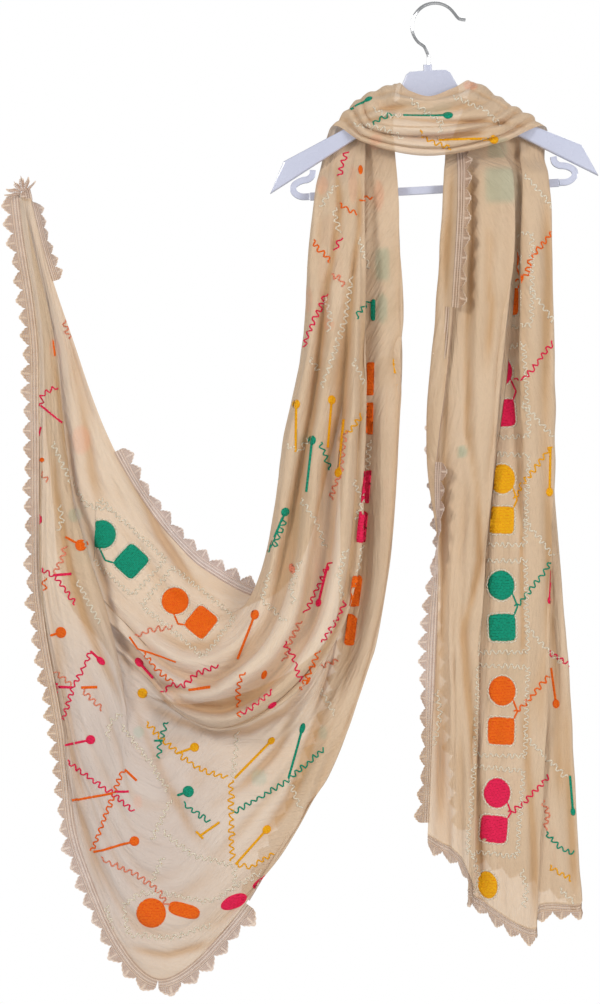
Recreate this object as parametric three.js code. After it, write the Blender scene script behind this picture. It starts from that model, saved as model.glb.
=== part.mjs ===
// A sheer embroidered dupatta folded over a plain plastic hanger.
// Millimetres. +Z is up, the front of the hanger faces -Y. The origin is the highest point
// of the inside of the hook, where a rail would bear.
import * as THREE from 'three';

const CLOTH_WALL = 1.2;
const LACE_WALL = 1.0;
const LACE_START = 0.9;
const LACE_BAND = 8;
const LACE_TOOTH = 8;
const LACE_PITCH = 23;
const SEAM_GAP = 0.3;
const FOLD_REACH = 9;

const ROLL = 3.2;
const HANGER_CENTRE = -13.5;
const ARM_DEPTH = 11;
const ARM_TIP_TOP = [182, -181];
const ARM_TIP_LOW = [200.5, -219.5];
const ARM_ROOT_TOP = [36.3, -113.2];
const ARM_ROOT_LOW = [36.3, -126.6];
const NECK_HALF_TOP = 27;
const NECK_HALF = 36;
const NECK_TOP = -80;
const NECK_FOOT = -129;
const KNOB_HALF = 5;
const KNOB_TOP = -72.8;
const BAR_TOP = -220.7;
const BAR_FOOT = -230.2;
const BAR_HALF = 152;
const BAR_DEPTH = 7;
const WIRE_RADIUS = 2.1;
const HOOK_RADIUS = 28.3;
const STEM_X = -8;
const STEM_FOOT = -73;

const CREAM = { color: 0xdcc9a6, roughness: 0.7, metalness: 0 };
const CHAMPAGNE = { color: 0xcdb591, roughness: 0.5, metalness: 0.1 };
const LILAC = { color: 0xc9c6d2, roughness: 0.35, metalness: 0 };
const CHROME = { color: 0xd6d8da, roughness: 0.15, metalness: 1 };

// The gathered fall under the left arm and the end swept out to the held corner.
// One row for each main fold, from the upper long edge to the lower one. Each place along the
// fold is [x, z, y]; "ripples" and "depth" are the small pleats up to the next fold, which run
// out below the knee where the row says that it flattens.
const LEFT_FOLDS = [
  { fold: 'upper edge', ripples: 2, depth: 5, flattens: true,
    arm: [-92, -169, 30], under: [-96, -190, 20], bar: [-100, -227, -9], fall: [-120, -517, 28],
    knee: [-200, -722, 34], belly: [-281, -689, 22], turn: [-322, -650, 15],
    side: [-368, -587, 11], wedge: [-413, -500, 10], throat: [-455, -385, 6],
    corner: [-493, -224, 1] },
  { fold: 'first roll behind', ripples: 0, depth: 0,
    arm: [-116, -169, 27], under: [-124, -190, 16], bar: [-138, -227, -9], fall: [-180, -517, 14],
    knee: [-234, -738, 22], belly: [-301, -748, 14], turn: [-360, -695, 10],
    side: [-399, -631, 9], wedge: [-434, -522, 8], throat: [-468, -390, 5],
    corner: [-495, -225, 1] },
  { fold: 'front of the bunch', ripples: 3, depth: 9,
    arm: [-134, -172, 17.5], under: [-139, -197, 8], bar: [-146, -227, -20], fall: [-182, -517, -18],
    knee: [-238, -761, -18], belly: [-292, -792, -12], turn: [-382, -729, 2],
    side: [-416, -663, 8], wedge: [-453, -546, 9], throat: [-477, -400, 6],
    corner: [-498, -226, 1] },
  { fold: 'lowest roll', ripples: 0, depth: 0,
    arm: [-84, -169, 10], under: [-86, -190, -6], bar: [-87, -227, -30], fall: [-87, -517, -30],
    knee: [-124, -778, -36], belly: [-260, -884, -36], turn: [-374, -812, -5],
    side: [-433, -727, 6], wedge: [-465, -580, 8], throat: [-486, -418, 5],
    corner: [-502, -228, 1] },
  { fold: 'band in front', ripples: 0, depth: 0,
    arm: [-88, -169, 14], under: [-90, -190, 2], bar: [-92, -227, -22], fall: [-94, -517, -13],
    knee: [-128, -770, -14], belly: [-267, -849, -6], turn: [-368, -836, -6],
    side: [-411, -702, -9], wedge: [-445, -574, -6], throat: [-475, -407, -3],
    corner: [-504, -229, 0] },
  { fold: 'panel', ripples: 2, depth: 5, flattens: true,
    arm: [-97, -169, 22], under: [-100, -190, 9], bar: [-104, -227, -15], fall: [-116, -517, 2],
    knee: [-128, -812, 4], belly: [-240, -989, -8], turn: [-343, -1062, -6],
    side: [-417, -936, -6], wedge: [-448, -785, -5], throat: [-478, -498, -3],
    corner: [-507, -230, 0] },
  { fold: 'edge of the panel', ripples: 0, depth: 0,
    arm: [-50, -169, 10], under: [-48, -190, -1], bar: [-46, -227, -20], fall: [-40, -517, -8],
    knee: [-74, -775, -10], belly: [-227, -1060, -6], turn: [-338, -1154, -3],
    side: [-421, -1017, -3], wedge: [-448, -847, -2], throat: [-479, -519, -1],
    corner: [-509, -231, 0] },
  { fold: 'lower edge', ripples: 0, depth: 0,
    arm: [-64, -169, 20], under: [-62, -190, 9], bar: [-62, -227, -10], fall: [-66, -517, 12],
    knee: [-90, -798, 14], belly: [-233, -1087, -2], turn: [-338, -1190, 0],
    side: [-423, -1040, 0], wedge: [-447, -874, 0], throat: [-480, -531, 0],
    corner: [-510, -232, 0] },
];
const LEFT_PLACES = [
  'arm', 'under', 'bar', 'fall', 'knee', 'belly', 'turn', 'side', 'wedge', 'throat', 'corner',
];
const LEFT_STEPS = [2, 2, 4, 4, 3, 3, 2, 3, 2, 2];
const LEFT_SOFTNESS = [0.1, 0.1, 0.15, 1, 1, 1, 0.5, 0.3, 0.12, 0.05, 0];
const PANEL_SOFTNESS = [0.1, 0.1, 0.15, 1, 0.2, 0.15, 0.1, 0.1, 0.05, 0, 0];

// The right end, hanging in long folds below the right arm.
const RIGHT_FOLDS = [
  { fold: 'edge at the back', ripples: 4, depth: 8,
    arm: [43, -160, 30], under: [38, -184, 22], bar: [34, -212, -10],
    mid: [21, -483, 32], low: [21, -727, 30], foot: [43, -1025, 24] },
  { fold: 'right side', ripples: 0, depth: 0,
    arm: [138, -160, 26], under: [136, -186, 18], bar: [137, -212, -10],
    mid: [139, -483, 6], low: [159, -727, 4], foot: [182, -1096, 0] },
  { fold: 'second pleat in', ripples: 0, depth: 0,
    arm: [112, -160, 20], under: [113, -184, 12], bar: [113, -212, -16],
    mid: [109, -483, -2], low: [116, -727, -2], foot: [124, -1100, -3] },
  { fold: 'second pleat out', ripples: 0, depth: 0,
    arm: [134, -160, 14], under: [134, -186, 8], bar: [137, -212, -20],
    mid: [142, -483, -12], low: [144, -727, -11], foot: [122, -1126, -11] },
  { fold: 'third pleat in', ripples: 0, depth: 0,
    arm: [104, -160, 9], under: [103, -184, -1], bar: [103, -212, -28],
    mid: [104, -483, -24], low: [106, -727, -20], foot: [100, -1120, -15] },
  { fold: 'third pleat out', ripples: 0, depth: 0,
    arm: [98, -160, 14], under: [107, -184, 6], bar: [114, -212, -22],
    mid: [116, -483, -15], low: [96, -727, -21], foot: [86, -1112, -17] },
  { fold: 'edge of the plain fold', ripples: 0, depth: 0,
    arm: [84, -160, 12], under: [84, -184, 3], bar: [85, -212, -18],
    mid: [83, -483, -10], low: [76, -727, -15], foot: [63, -1097, -12] },
  { fold: 'behind the plain fold', ripples: 0, depth: 0,
    arm: [60, -160, 16], under: [56, -184, 6], bar: [50, -212, -14],
    mid: [43, -483, -6], low: [44, -727, -7], foot: [40, -1080, -5] },
  { fold: 'front fold', ripples: 1, depth: 3,
    arm: [74, -160, 8], under: [84, -184, -3], bar: [93, -212, -29],
    mid: [79, -483, -23], low: [57, -727, -19], foot: [48, -1070, -14] },
  { fold: 'front face', ripples: 0, depth: 0,
    arm: [46, -160, 9], under: [46, -184, -1], bar: [45, -212, -26],
    mid: [40, -483, -20], low: [30, -727, -15], foot: [27, -1022, -11] },
  { fold: 'left side', ripples: 0, depth: 0,
    arm: [12, -160, 16], under: [12, -184, 4], bar: [9, -212, -17],
    mid: [-3, -483, -8], low: [12, -727, -4], foot: [8, -1012, -4] },
  { fold: 'edge in front', ripples: 0, depth: 0,
    arm: [26, -160, 7], under: [27, -184, -6], bar: [27, -212, -29],
    mid: [14, -483, -22], low: [2, -727, -10], foot: [-8, -1003, -8] },
];
const RIGHT_PLACES = ['arm', 'under', 'bar', 'mid', 'low', 'foot'];
const RIGHT_STEPS = [2, 2, 4, 3, 5];
const RIGHT_SOFTNESS = [0.1, 0.1, 0.1, 1, 1, 0.5];

// The loop laid over both arms, sagging in front below the neck.
const SWAG_FOLDS = [
  { fold: 'bottom of the loop', ripples: 3, depth: 5,
    backLeft: [-134, -165, 15], overLeft: [-125, -144, 0], left: [-89, -170, -18],
    centre: [-4, -187, -22], right: [82, -170, -22], overRight: [134, -140, -2],
    backRight: [139, -156, 15] },
  { fold: 'middle crease', ripples: 3, depth: 5,
    backLeft: [-96, -165, 18], overLeft: [-89, -109, 0], left: [-77, -143, -28],
    centre: [-4, -151, -37], right: [65, -138, -30], overRight: [94, -114, 0],
    backRight: [92, -156, 18] },
  { fold: 'top of the loop', ripples: 0, depth: 0,
    backLeft: [-52, -165, 15], overLeft: [-45, -96, 5], left: [-33, -107, -19],
    centre: [-9, -115, -22], right: [21, -104, -19], overRight: [43, -92, 5],
    backRight: [20, -156, 15] },
];
const SWAG_PLACES = ['backLeft', 'overLeft', 'left', 'centre', 'right', 'overRight', 'backRight'];
const SWAG_STEPS = [3, 3, 3, 3, 3, 3];
const SWAG_SOFTNESS = [0.2, 0.25, 0.8, 1, 0.8, 0.25, 0.2];

const group = new THREE.Group();
group.name = 'dupatta_on_hanger';

function addMesh(geometry, name, look, parent = group) {
  const mesh = new THREE.Mesh(geometry, new THREE.MeshStandardMaterial(look));
  mesh.name = name;
  parent.add(mesh);
  return mesh;
}

// ---- Cloth ----

function alongList(values, place) {
  const first = Math.min(Math.floor(place), values.length - 2);
  const part = place - first;
  return values[first] + (values[first + 1] - values[first]) * part;
}

// How fast a smooth line leaves a point: straight on it runs at the length of the stretch,
// and round a sharp fold it turns within FOLD_REACH.
function leaving(points, at, length) {
  const last = points.length - 1;
  const before = points[at].clone().sub(points[Math.max(at - 1, 0)]);
  const after = points[Math.min(at + 1, last)].clone().sub(points[at]);
  const way = before.normalize().add(after.normalize());
  const straight = at === 0 || at === last ? 1 : way.length() / 2;
  const reach = length * straight + Math.min(length, FOLD_REACH) * (1 - straight);
  return way.normalize().multiplyScalar(reach);
}

function smoothPoint(points, place) {
  const first = Math.min(Math.floor(place), points.length - 2);
  const part = place - first;
  const from = points[first];
  const to = points[first + 1];
  const length = from.distanceTo(to);
  const square = part * part;
  const cube = square * part;
  return from.clone().multiplyScalar(2 * cube - 3 * square + 1)
    .addScaledVector(leaving(points, first, length), cube - 2 * square + part)
    .addScaledVector(to, 3 * square - 2 * cube)
    .addScaledVector(leaving(points, first + 1, length), cube - square);
}

function basePoint(stretch, along, across) {
  const crossing = stretch.folds.map((fold) => {
    const run = stretch.places.map((place) => {
      const [x, z, y] = fold[place];
      return new THREE.Vector3(x, y, z);
    });
    return smoothPoint(run, along);
  });
  return smoothPoint(crossing, across);
}

function baseNormal(stretch, along, across) {
  const step = 0.02;
  const lastAlong = stretch.places.length - 1;
  const lastAcross = stretch.folds.length - 1;
  const ahead = basePoint(stretch, Math.min(along + step, lastAlong), across);
  const behind = basePoint(stretch, Math.max(along - step, 0), across);
  const over = basePoint(stretch, along, Math.min(across + step, lastAcross));
  const under = basePoint(stretch, along, Math.max(across - step, 0));
  const run = ahead.sub(behind);
  const width = over.sub(under);
  return run.cross(width).normalize();
}

function clothPoint(stretch, along, across) {
  const point = basePoint(stretch, along, across);
  const first = Math.min(Math.floor(across), stretch.folds.length - 2);
  const { ripples, depth, flattens } = stretch.folds[first];
  const softness = alongList(flattens ? PANEL_SOFTNESS : stretch.softness, along);
  const part = across - first;
  const wave = Math.sin(2 * Math.PI * ripples * part) * (1 - (2 * part - 1) ** 4);
  const lift = depth * softness * wave;
  return point.addScaledVector(baseNormal(stretch, along, across), lift);
}

function alongSteps(stretch) {
  const steps = [];
  stretch.steps.forEach((count, first) => {
    for (let part = 0; part < count; part += 1) {
      steps.push(first + part / count);
    }
  });
  steps.push(stretch.places.length - 1);
  return steps;
}

function acrossSteps(stretch) {
  const steps = [];
  stretch.folds.slice(0, -1).forEach((fold, first) => {
    const count = 5 * fold.ripples;
    const parts = count ? [...Array(count).keys()].map((step) => step / count) : [0, 0.12, 0.5, 0.88];
    parts.forEach((part) => steps.push(first + part));
  });
  steps.push(stretch.folds.length - 1);
  return steps;
}

function gridNormals(grid) {
  const rows = grid.length;
  const columns = grid[0].length;
  return grid.map((row, i) => row.map((point, j) => {
    const run = grid[Math.min(i + 1, rows - 1)][j].clone().sub(grid[Math.max(i - 1, 0)][j]);
    const width = row[Math.min(j + 1, columns - 1)].clone().sub(row[Math.max(j - 1, 0)]);
    return run.cross(width).normalize();
  }));
}

// A closed wall of even thickness about a grid of points.
function wallAbout(grid, normals, thickness) {
  const rows = grid.length;
  const columns = grid[0].length;
  const positions = [];
  const addSide = (side) => {
    grid.forEach((row, i) => row.forEach((point, j) => {
      const moved = point.clone().addScaledVector(normals[i][j], side * thickness / 2);
      positions.push(moved.x, moved.y, moved.z);
    }));
  };
  addSide(1);
  addSide(-1);
  const size = rows * columns;
  const at = (i, j, back) => back * size + i * columns + j;
  const faces = [];
  const addFace = (a, b, c, d) => {
    faces.push(a, b, c);
    faces.push(a, c, d);
  };
  for (let i = 0; i < rows - 1; i += 1) {
    for (let j = 0; j < columns - 1; j += 1) {
      addFace(at(i, j, 0), at(i + 1, j, 0), at(i + 1, j + 1, 0), at(i, j + 1, 0));
      addFace(at(i, j, 1), at(i, j + 1, 1), at(i + 1, j + 1, 1), at(i + 1, j, 1));
    }
  }
  for (let i = 0; i < rows - 1; i += 1) {
    addFace(at(i, 0, 0), at(i, 0, 1), at(i + 1, 0, 1), at(i + 1, 0, 0));
    const edge = columns - 1;
    addFace(at(i, edge, 0), at(i + 1, edge, 0), at(i + 1, edge, 1), at(i, edge, 1));
  }
  for (let j = 0; j < columns - 1; j += 1) {
    addFace(at(0, j, 0), at(0, j + 1, 0), at(0, j + 1, 1), at(0, j, 1));
    const end = rows - 1;
    addFace(at(end, j, 0), at(end, j, 1), at(end, j + 1, 1), at(end, j + 1, 0));
  }
  const geometry = new THREE.BufferGeometry();
  geometry.setAttribute('position', new THREE.Float32BufferAttribute(positions, 3));
  geometry.setIndex(faces);
  geometry.computeVertexNormals();
  return geometry;
}

function makeStretch(folds, places, steps, softness) {
  return { folds, places, steps, softness };
}

function clothGrid(stretch) {
  return alongSteps(stretch).map((along) => (
    acrossSteps(stretch).map((across) => clothPoint(stretch, along, across))
  ));
}

const left = makeStretch(LEFT_FOLDS, LEFT_PLACES, LEFT_STEPS, LEFT_SOFTNESS);
const right = makeStretch(RIGHT_FOLDS, RIGHT_PLACES, RIGHT_STEPS, RIGHT_SOFTNESS);
const swag = makeStretch(SWAG_FOLDS, SWAG_PLACES, SWAG_STEPS, SWAG_SOFTNESS);

function addStretch(stretch, name) {
  stretch.grid = clothGrid(stretch);
  stretch.normals = gridNormals(stretch.grid);
  addMesh(wallAbout(stretch.grid, stretch.normals, CLOTH_WALL), name, CREAM);
}

addStretch(swag, 'swag_front');
addStretch(left, 'fall_left');
addStretch(right, 'fall_right');

// ---- Lace ----

// Points of a cloth edge, each with the cloth's normal there and the way out of the cloth.
function edgePoints(edge, inner, normals, count, hangs) {
  const list = [];
  for (let step = 0; step <= count; step += 1) {
    const place = (edge.length - 1) * step / count;
    const first = Math.min(Math.floor(place), edge.length - 2);
    const part = place - first;
    const point = edge[first].clone().lerp(edge[first + 1], part);
    const normal = normals[first].clone().lerp(normals[first + 1], part).normalize();
    const back = edge[Math.max(part > 0 ? first : first - 1, 0)];
    const run = edge[first + 1].clone().sub(back).normalize();
    const outward = point.clone().sub(inner[first].clone().lerp(inner[first + 1], part));
    const out = run.clone().cross(normal).normalize();
    if (hangs) out.set(0, 0, -1);
    if (out.dot(outward) < 0) out.negate();
    const start = LACE_START / Math.max(run.clone().cross(out).length(), 0.12);
    list.push({ point, out, normal, start, turn: run.cross(out).dot(normal) });
  }
  const turn = list.reduce((sum, place) => sum + place.turn, 0);
  if (turn < 0) list.forEach((place) => place.normal.negate());
  return list;
}

function laceWall(edge, toothed) {
  const grid = edge.map(({ point, out, start }, step) => {
    const tooth = toothed && step % 2 === 0 ? 0.15 : 1;
    const reach = LACE_BAND + (toothed ? LACE_TOOTH * tooth : 0.5 * LACE_TOOTH);
    return [
      point.clone().addScaledVector(out, start),
      point.clone().addScaledVector(out, reach),
    ];
  });
  return wallAbout(grid, edge.map(({ normal }) => [normal, normal]), LACE_WALL);
}

// The rows of a stretch from one place to another, at its first or its last column.
function sideEdge(stretch, from, to, atLast, count) {
  const steps = alongSteps(stretch);
  const rows = steps.map((along, row) => row).filter((row) => steps[row] >= from && steps[row] <= to);
  const column = atLast ? stretch.grid[0].length - 1 : 0;
  const inner = atLast ? column - 2 : 2;
  return edgePoints(
    rows.map((row) => stretch.grid[row][column]),
    rows.map((row) => stretch.grid[row][inner]),
    rows.map((row) => stretch.normals[row][column]),
    count,
    false,
  );
}

const endTeeth = Math.round(1000 / LACE_PITCH) * 2;
addMesh(laceWall(sideEdge(left, 6, 10, true, endTeeth), true), 'lace_end_left', CHAMPAGNE);
addMesh(laceWall(sideEdge(left, 4.3, 7.5, false, 18), false), 'lace_top_left', CHAMPAGNE);
addMesh(laceWall(sideEdge(left, 3.5, 5.7, true, 16), false), 'lace_bottom_left', CHAMPAGNE);
addMesh(laceWall(sideEdge(right, 2.2, 4.8, true, 16), false), 'lace_front_right', CHAMPAGNE);
addMesh(laceWall(sideEdge(right, 2.2, 4.8, false, 16), false), 'lace_back_right', CHAMPAGNE);

const footRow = right.grid.length - 1;
const footCount = right.grid[0].length - 1;
const footEdge = edgePoints(
  right.grid[footRow],
  right.grid[footRow - 1],
  right.normals[footRow],
  footCount,
  true,
);
addMesh(laceWall(footEdge, false), 'lace_end_right', CHAMPAGNE);

// ---- Hanger ----

const hanger = new THREE.Group();
hanger.name = 'hanger';
hanger.rotation.y = -THREE.MathUtils.degToRad(ROLL);
group.add(hanger);

// A flat outline in x and z given a depth along y, with softened edges.
function slab(outline, depth, soften) {
  const shape = new THREE.Shape(outline.map(([x, z]) => new THREE.Vector2(x, z)));
  const geometry = new THREE.ExtrudeGeometry(shape, {
    depth: depth - 2 * soften,
    bevelEnabled: soften > 0,
    bevelThickness: soften,
    bevelSize: soften,
    bevelOffset: -soften,
    bevelSegments: 2,
    steps: 1,
  });
  geometry.translate(0, 0, -(depth - 2 * soften) / 2);
  geometry.rotateX(Math.PI / 2);
  return geometry;
}

function armOutline(side) {
  const place = ([x, z]) => [HANGER_CENTRE + side * x, z];
  const points = [ARM_ROOT_TOP, ARM_TIP_TOP, ARM_TIP_LOW, ARM_ROOT_LOW].map(place);
  return side > 0 ? points.reverse() : points;
}

function neckOutline() {
  const half = [
    [KNOB_HALF, KNOB_TOP],
    [KNOB_HALF, NECK_TOP],
    [NECK_HALF_TOP - 5, NECK_TOP - 0.5],
    [NECK_HALF_TOP, NECK_TOP - 4],
    [NECK_HALF - 4, NECK_TOP - 14],
    [NECK_HALF, NECK_TOP - 22],
    [NECK_HALF, NECK_FOOT],
  ];
  const rightSide = half.map(([x, z]) => [HANGER_CENTRE + x, z]);
  const leftSide = half.map(([x, z]) => [HANGER_CENTRE - x, z]).reverse();
  return [...rightSide, ...leftSide].reverse();
}

// A ribbon of plastic following a bent line, closed at both ends.
function ribbon(line, width) {
  const oneSide = [];
  const otherSide = [];
  line.forEach(([x, z], step) => {
    const [aheadX, aheadZ] = line[Math.min(step + 1, line.length - 1)];
    const [behindX, behindZ] = line[Math.max(step - 1, 0)];
    const length = Math.hypot(aheadX - behindX, aheadZ - behindZ);
    const acrossX = -(aheadZ - behindZ) / length;
    const acrossZ = (aheadX - behindX) / length;
    oneSide.push([x + acrossX * width / 2, z + acrossZ * width / 2]);
    otherSide.push([x - acrossX * width / 2, z - acrossZ * width / 2]);
  });
  return [...oneSide, ...otherSide.reverse()];
}

function notchLine(side) {
  const bend = [
    [147, -193],
    [150, -202.5],
    [160, -205],
    [169, -208.5],
    [173, -214.5],
    [170, -221],
    [163, -225],
    [BAR_HALF + SEAM_GAP, -225.4],
  ];
  return bend.map(([x, z]) => [HANGER_CENTRE + side * x, z]);
}

addMesh(slab(neckOutline(), ARM_DEPTH + 1, 2), 'hanger_neck', LILAC, hanger);
addMesh(slab(armOutline(-1), ARM_DEPTH, 2.5), 'hanger_arm_left', LILAC, hanger);
addMesh(slab(armOutline(1), ARM_DEPTH, 2.5), 'hanger_arm_right', LILAC, hanger);
addMesh(slab(ribbon(notchLine(-1), 8), BAR_DEPTH, 0), 'bar_notch_left', LILAC, hanger);
addMesh(slab(ribbon(notchLine(1), 8), BAR_DEPTH, 0), 'bar_notch_right', LILAC, hanger);
const barOutline = [
  [HANGER_CENTRE - BAR_HALF, BAR_FOOT],
  [HANGER_CENTRE + BAR_HALF, BAR_FOOT],
  [HANGER_CENTRE + BAR_HALF, BAR_TOP],
  [HANGER_CENTRE - BAR_HALF, BAR_TOP],
];
addMesh(slab(barOutline, BAR_DEPTH, 1), 'trouser_bar', LILAC, hanger);

// ---- Hook ----

function hookLine() {
  const points = [
    [STEM_X, STEM_FOOT],
    [STEM_X, -63],
    [-11, -55.5],
  ];
  const degrees = [243, 222, 201, 180, 159, 138, 117, 96, 75, 54, 36];
  degrees.forEach((degree) => {
    const angle = THREE.MathUtils.degToRad(degree);
    const x = HOOK_RADIUS * Math.cos(angle);
    const z = WIRE_RADIUS - HOOK_RADIUS + HOOK_RADIUS * Math.sin(angle);
    points.push([x, z]);
  });
  points.push([29, -17]);
  points.push([37, -18.5]);
  return points.map(([x, z]) => new THREE.Vector3(x, 0, z));
}

const wire = new THREE.Shape();
wire.absarc(0, 0, WIRE_RADIUS, 0, 2 * Math.PI);
const hookPath = new THREE.CatmullRomCurve3(hookLine());
const hookGeometry = new THREE.ExtrudeGeometry(wire, {
  extrudePath: hookPath,
  steps: 36,
  bevelEnabled: false,
  curveSegments: 4,
});
addMesh(hookGeometry, 'hanger_hook', CHROME);

export default group;
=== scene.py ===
import math

import bpy
import numpy as np
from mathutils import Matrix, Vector
from mathutils.bvhtree import BVHTree


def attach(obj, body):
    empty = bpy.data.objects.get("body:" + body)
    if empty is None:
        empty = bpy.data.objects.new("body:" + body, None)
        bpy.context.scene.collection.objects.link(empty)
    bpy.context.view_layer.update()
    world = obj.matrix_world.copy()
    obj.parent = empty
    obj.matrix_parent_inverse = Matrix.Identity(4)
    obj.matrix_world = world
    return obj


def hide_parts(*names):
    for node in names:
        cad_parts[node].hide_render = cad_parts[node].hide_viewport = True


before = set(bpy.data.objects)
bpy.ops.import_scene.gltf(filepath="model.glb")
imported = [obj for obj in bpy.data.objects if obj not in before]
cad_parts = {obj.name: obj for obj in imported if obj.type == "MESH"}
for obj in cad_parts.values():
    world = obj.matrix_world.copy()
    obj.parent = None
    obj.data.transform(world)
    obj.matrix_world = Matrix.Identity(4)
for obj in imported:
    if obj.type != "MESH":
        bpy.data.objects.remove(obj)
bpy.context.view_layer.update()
bpy.ops.object.select_all(action="DESELECT")

# ---- Where it is seen from, its light and its floor ----
# The hanger hangs at eye height in a pale room, seen square from the front, lit by a
# large soft light high on the left, a second on the right and a weak one from behind.

camera_data = bpy.data.cameras.new("camera")
camera_data.lens = 94.0
camera_data.sensor_width = 36.0
camera = bpy.data.objects.new("camera", camera_data)
camera.location = (-0.165, -3.2, -0.607)
camera.rotation_euler = (math.pi / 2, 0, 0)
bpy.context.collection.objects.link(camera)
bpy.context.scene.camera = camera

world = bpy.data.worlds.new("pale room")
world.use_nodes = True
room = world.node_tree.nodes["Background"]
room.inputs["Color"].default_value = (1.0, 1.0, 1.0, 1)
seen = world.node_tree.nodes.new("ShaderNodeLightPath")
glow = world.node_tree.nodes.new("ShaderNodeMapRange")
glow.inputs["To Min"].default_value = 0.42
glow.inputs["To Max"].default_value = 1.0
world.node_tree.links.new(seen.outputs["Is Camera Ray"], glow.inputs["Value"])
world.node_tree.links.new(glow.outputs["Result"], room.inputs["Strength"])
bpy.context.scene.world = world
bpy.context.scene.view_settings.view_transform = "Standard"


def soft_light(name, place, aim, size, power, colour):
    data = bpy.data.lights.new(name, "AREA")
    data.shape = "RECTANGLE"
    data.size, data.size_y = size
    data.energy = power
    data.color = colour
    lamp = bpy.data.objects.new(name, data)
    lamp.location = place
    lamp.rotation_euler = (Vector(aim) - Vector(place)).to_track_quat("-Z", "Y").to_euler()
    bpy.context.collection.objects.link(lamp)


soft_light("window light", (-2.3, -2.4, 0.9), (-0.1, 0, -0.6), (0.7, 0.9), 42, (1.0, 0.985, 0.96))
soft_light("fill light", (1.7, -2.2, 0.1), (0.0, 0, -0.6), (0.9, 1.2), 31, (1.0, 0.985, 0.98))
soft_light("back light", (0.6, 1.8, 0.6), (-0.1, 0, -0.6), (1.4, 1.4), 10, (1.0, 0.99, 0.97))

bpy.ops.mesh.primitive_circle_add(vertices=96, radius=2.0, fill_type="NGON", location=(-0.16, -0.9, -1.45))
floor = bpy.context.object
floor.name = "floor"
bpy.ops.object.transform_apply(location=True)
floor_paint = bpy.data.materials.new("pale floor")
floor_paint.use_nodes = True
nodes, links = floor_paint.node_tree.nodes, floor_paint.node_tree.links
floor_paint.node_tree.nodes["Principled BSDF"].inputs["Roughness"].default_value = 0.8
cloud = nodes.new("ShaderNodeTexNoise")
cloud.inputs["Scale"].default_value = 3.0
tint = nodes.new("ShaderNodeMix")
tint.data_type = "RGBA"
tint.inputs["A"].default_value = (0.90, 0.90, 0.89, 1)
tint.inputs["B"].default_value = (0.94, 0.94, 0.935, 1)
links.new(cloud.outputs["Fac"], tint.inputs["Factor"])
links.new(tint.outputs["Result"], nodes["Principled BSDF"].inputs["Base Color"])
floor.data.materials.append(floor_paint)

# ---- Hanger ----
# A common ladies' hanger, moulded in pale lilac-grey plastic: two broad arms, a neck
# and a thin trouser bar, with a bright wire hook set in the neck.


def new_material(name):
    """A node material with its Principled shader, ready for its own values."""
    made = bpy.data.materials.new(name)
    made.use_nodes = True
    return made, made.node_tree.nodes, made.node_tree.links, made.node_tree.nodes["Principled BSDF"]


def make_speckle_group():
    """Fine uneven marks: one soft noise, spread about its middle into a mask from 0 to 1."""
    group = bpy.data.node_groups.new("uneven marks", "ShaderNodeTree")
    group.interface.new_socket("Vector", in_out="INPUT", socket_type="NodeSocketVector")
    group.interface.new_socket("Size", in_out="INPUT", socket_type="NodeSocketFloat")
    group.interface.new_socket("Spread", in_out="INPUT", socket_type="NodeSocketFloat")
    group.interface.new_socket("Mask", in_out="OUTPUT", socket_type="NodeSocketFloat")
    start = group.nodes.new("NodeGroupInput")
    end = group.nodes.new("NodeGroupOutput")
    broad = group.nodes.new("ShaderNodeTexNoise")
    broad.inputs["Detail"].default_value = 4.0
    level = group.nodes.new("ShaderNodeMapRange")
    level.inputs["To Min"].default_value = 0.0
    low = group.nodes.new("ShaderNodeMath")
    low.operation = "SUBTRACT"
    low.inputs[0].default_value = 0.5
    high = group.nodes.new("ShaderNodeMath")
    high.operation = "ADD"
    high.inputs[0].default_value = 0.5
    group.links.new(start.outputs["Vector"], broad.inputs["Vector"])
    group.links.new(start.outputs["Size"], broad.inputs["Scale"])
    group.links.new(start.outputs["Spread"], low.inputs[1])
    group.links.new(start.outputs["Spread"], high.inputs[1])
    group.links.new(broad.outputs["Fac"], level.inputs["Value"])
    group.links.new(low.outputs[0], level.inputs["From Min"])
    group.links.new(high.outputs[0], level.inputs["From Max"])
    group.links.new(level.outputs["Result"], end.inputs["Mask"])
    return group


uneven_marks = make_speckle_group()


def marks(nodes, links, vector, size, spread):
    """Places the uneven marks in a material and gives their mask."""
    node = nodes.new("ShaderNodeGroup")
    node.node_tree = uneven_marks
    node.inputs["Size"].default_value = size
    node.inputs["Spread"].default_value = spread
    links.new(vector, node.inputs["Vector"])
    return node.outputs["Mask"]


def blend_colours(nodes, links, mask, first, second):
    mix = nodes.new("ShaderNodeMix")
    mix.data_type = "RGBA"
    mix.inputs["A"].default_value = (*first, 1)
    mix.inputs["B"].default_value = (*second, 1)
    links.new(mask, mix.inputs["Factor"])
    return mix.outputs["Result"]


def spread_value(nodes, links, mask, low, high):
    node = nodes.new("ShaderNodeMapRange")
    node.inputs["To Min"].default_value = low
    node.inputs["To Max"].default_value = high
    links.new(mask, node.inputs["Value"])
    return node.outputs["Result"]


def raise_by(nodes, links, shader, height, distance, strength=1.0):
    bump = nodes.new("ShaderNodeBump")
    bump.inputs["Distance"].default_value = distance
    bump.inputs["Strength"].default_value = strength
    links.new(height, bump.inputs["Height"])
    links.new(bump.outputs["Normal"], shader.inputs["Normal"])


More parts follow.
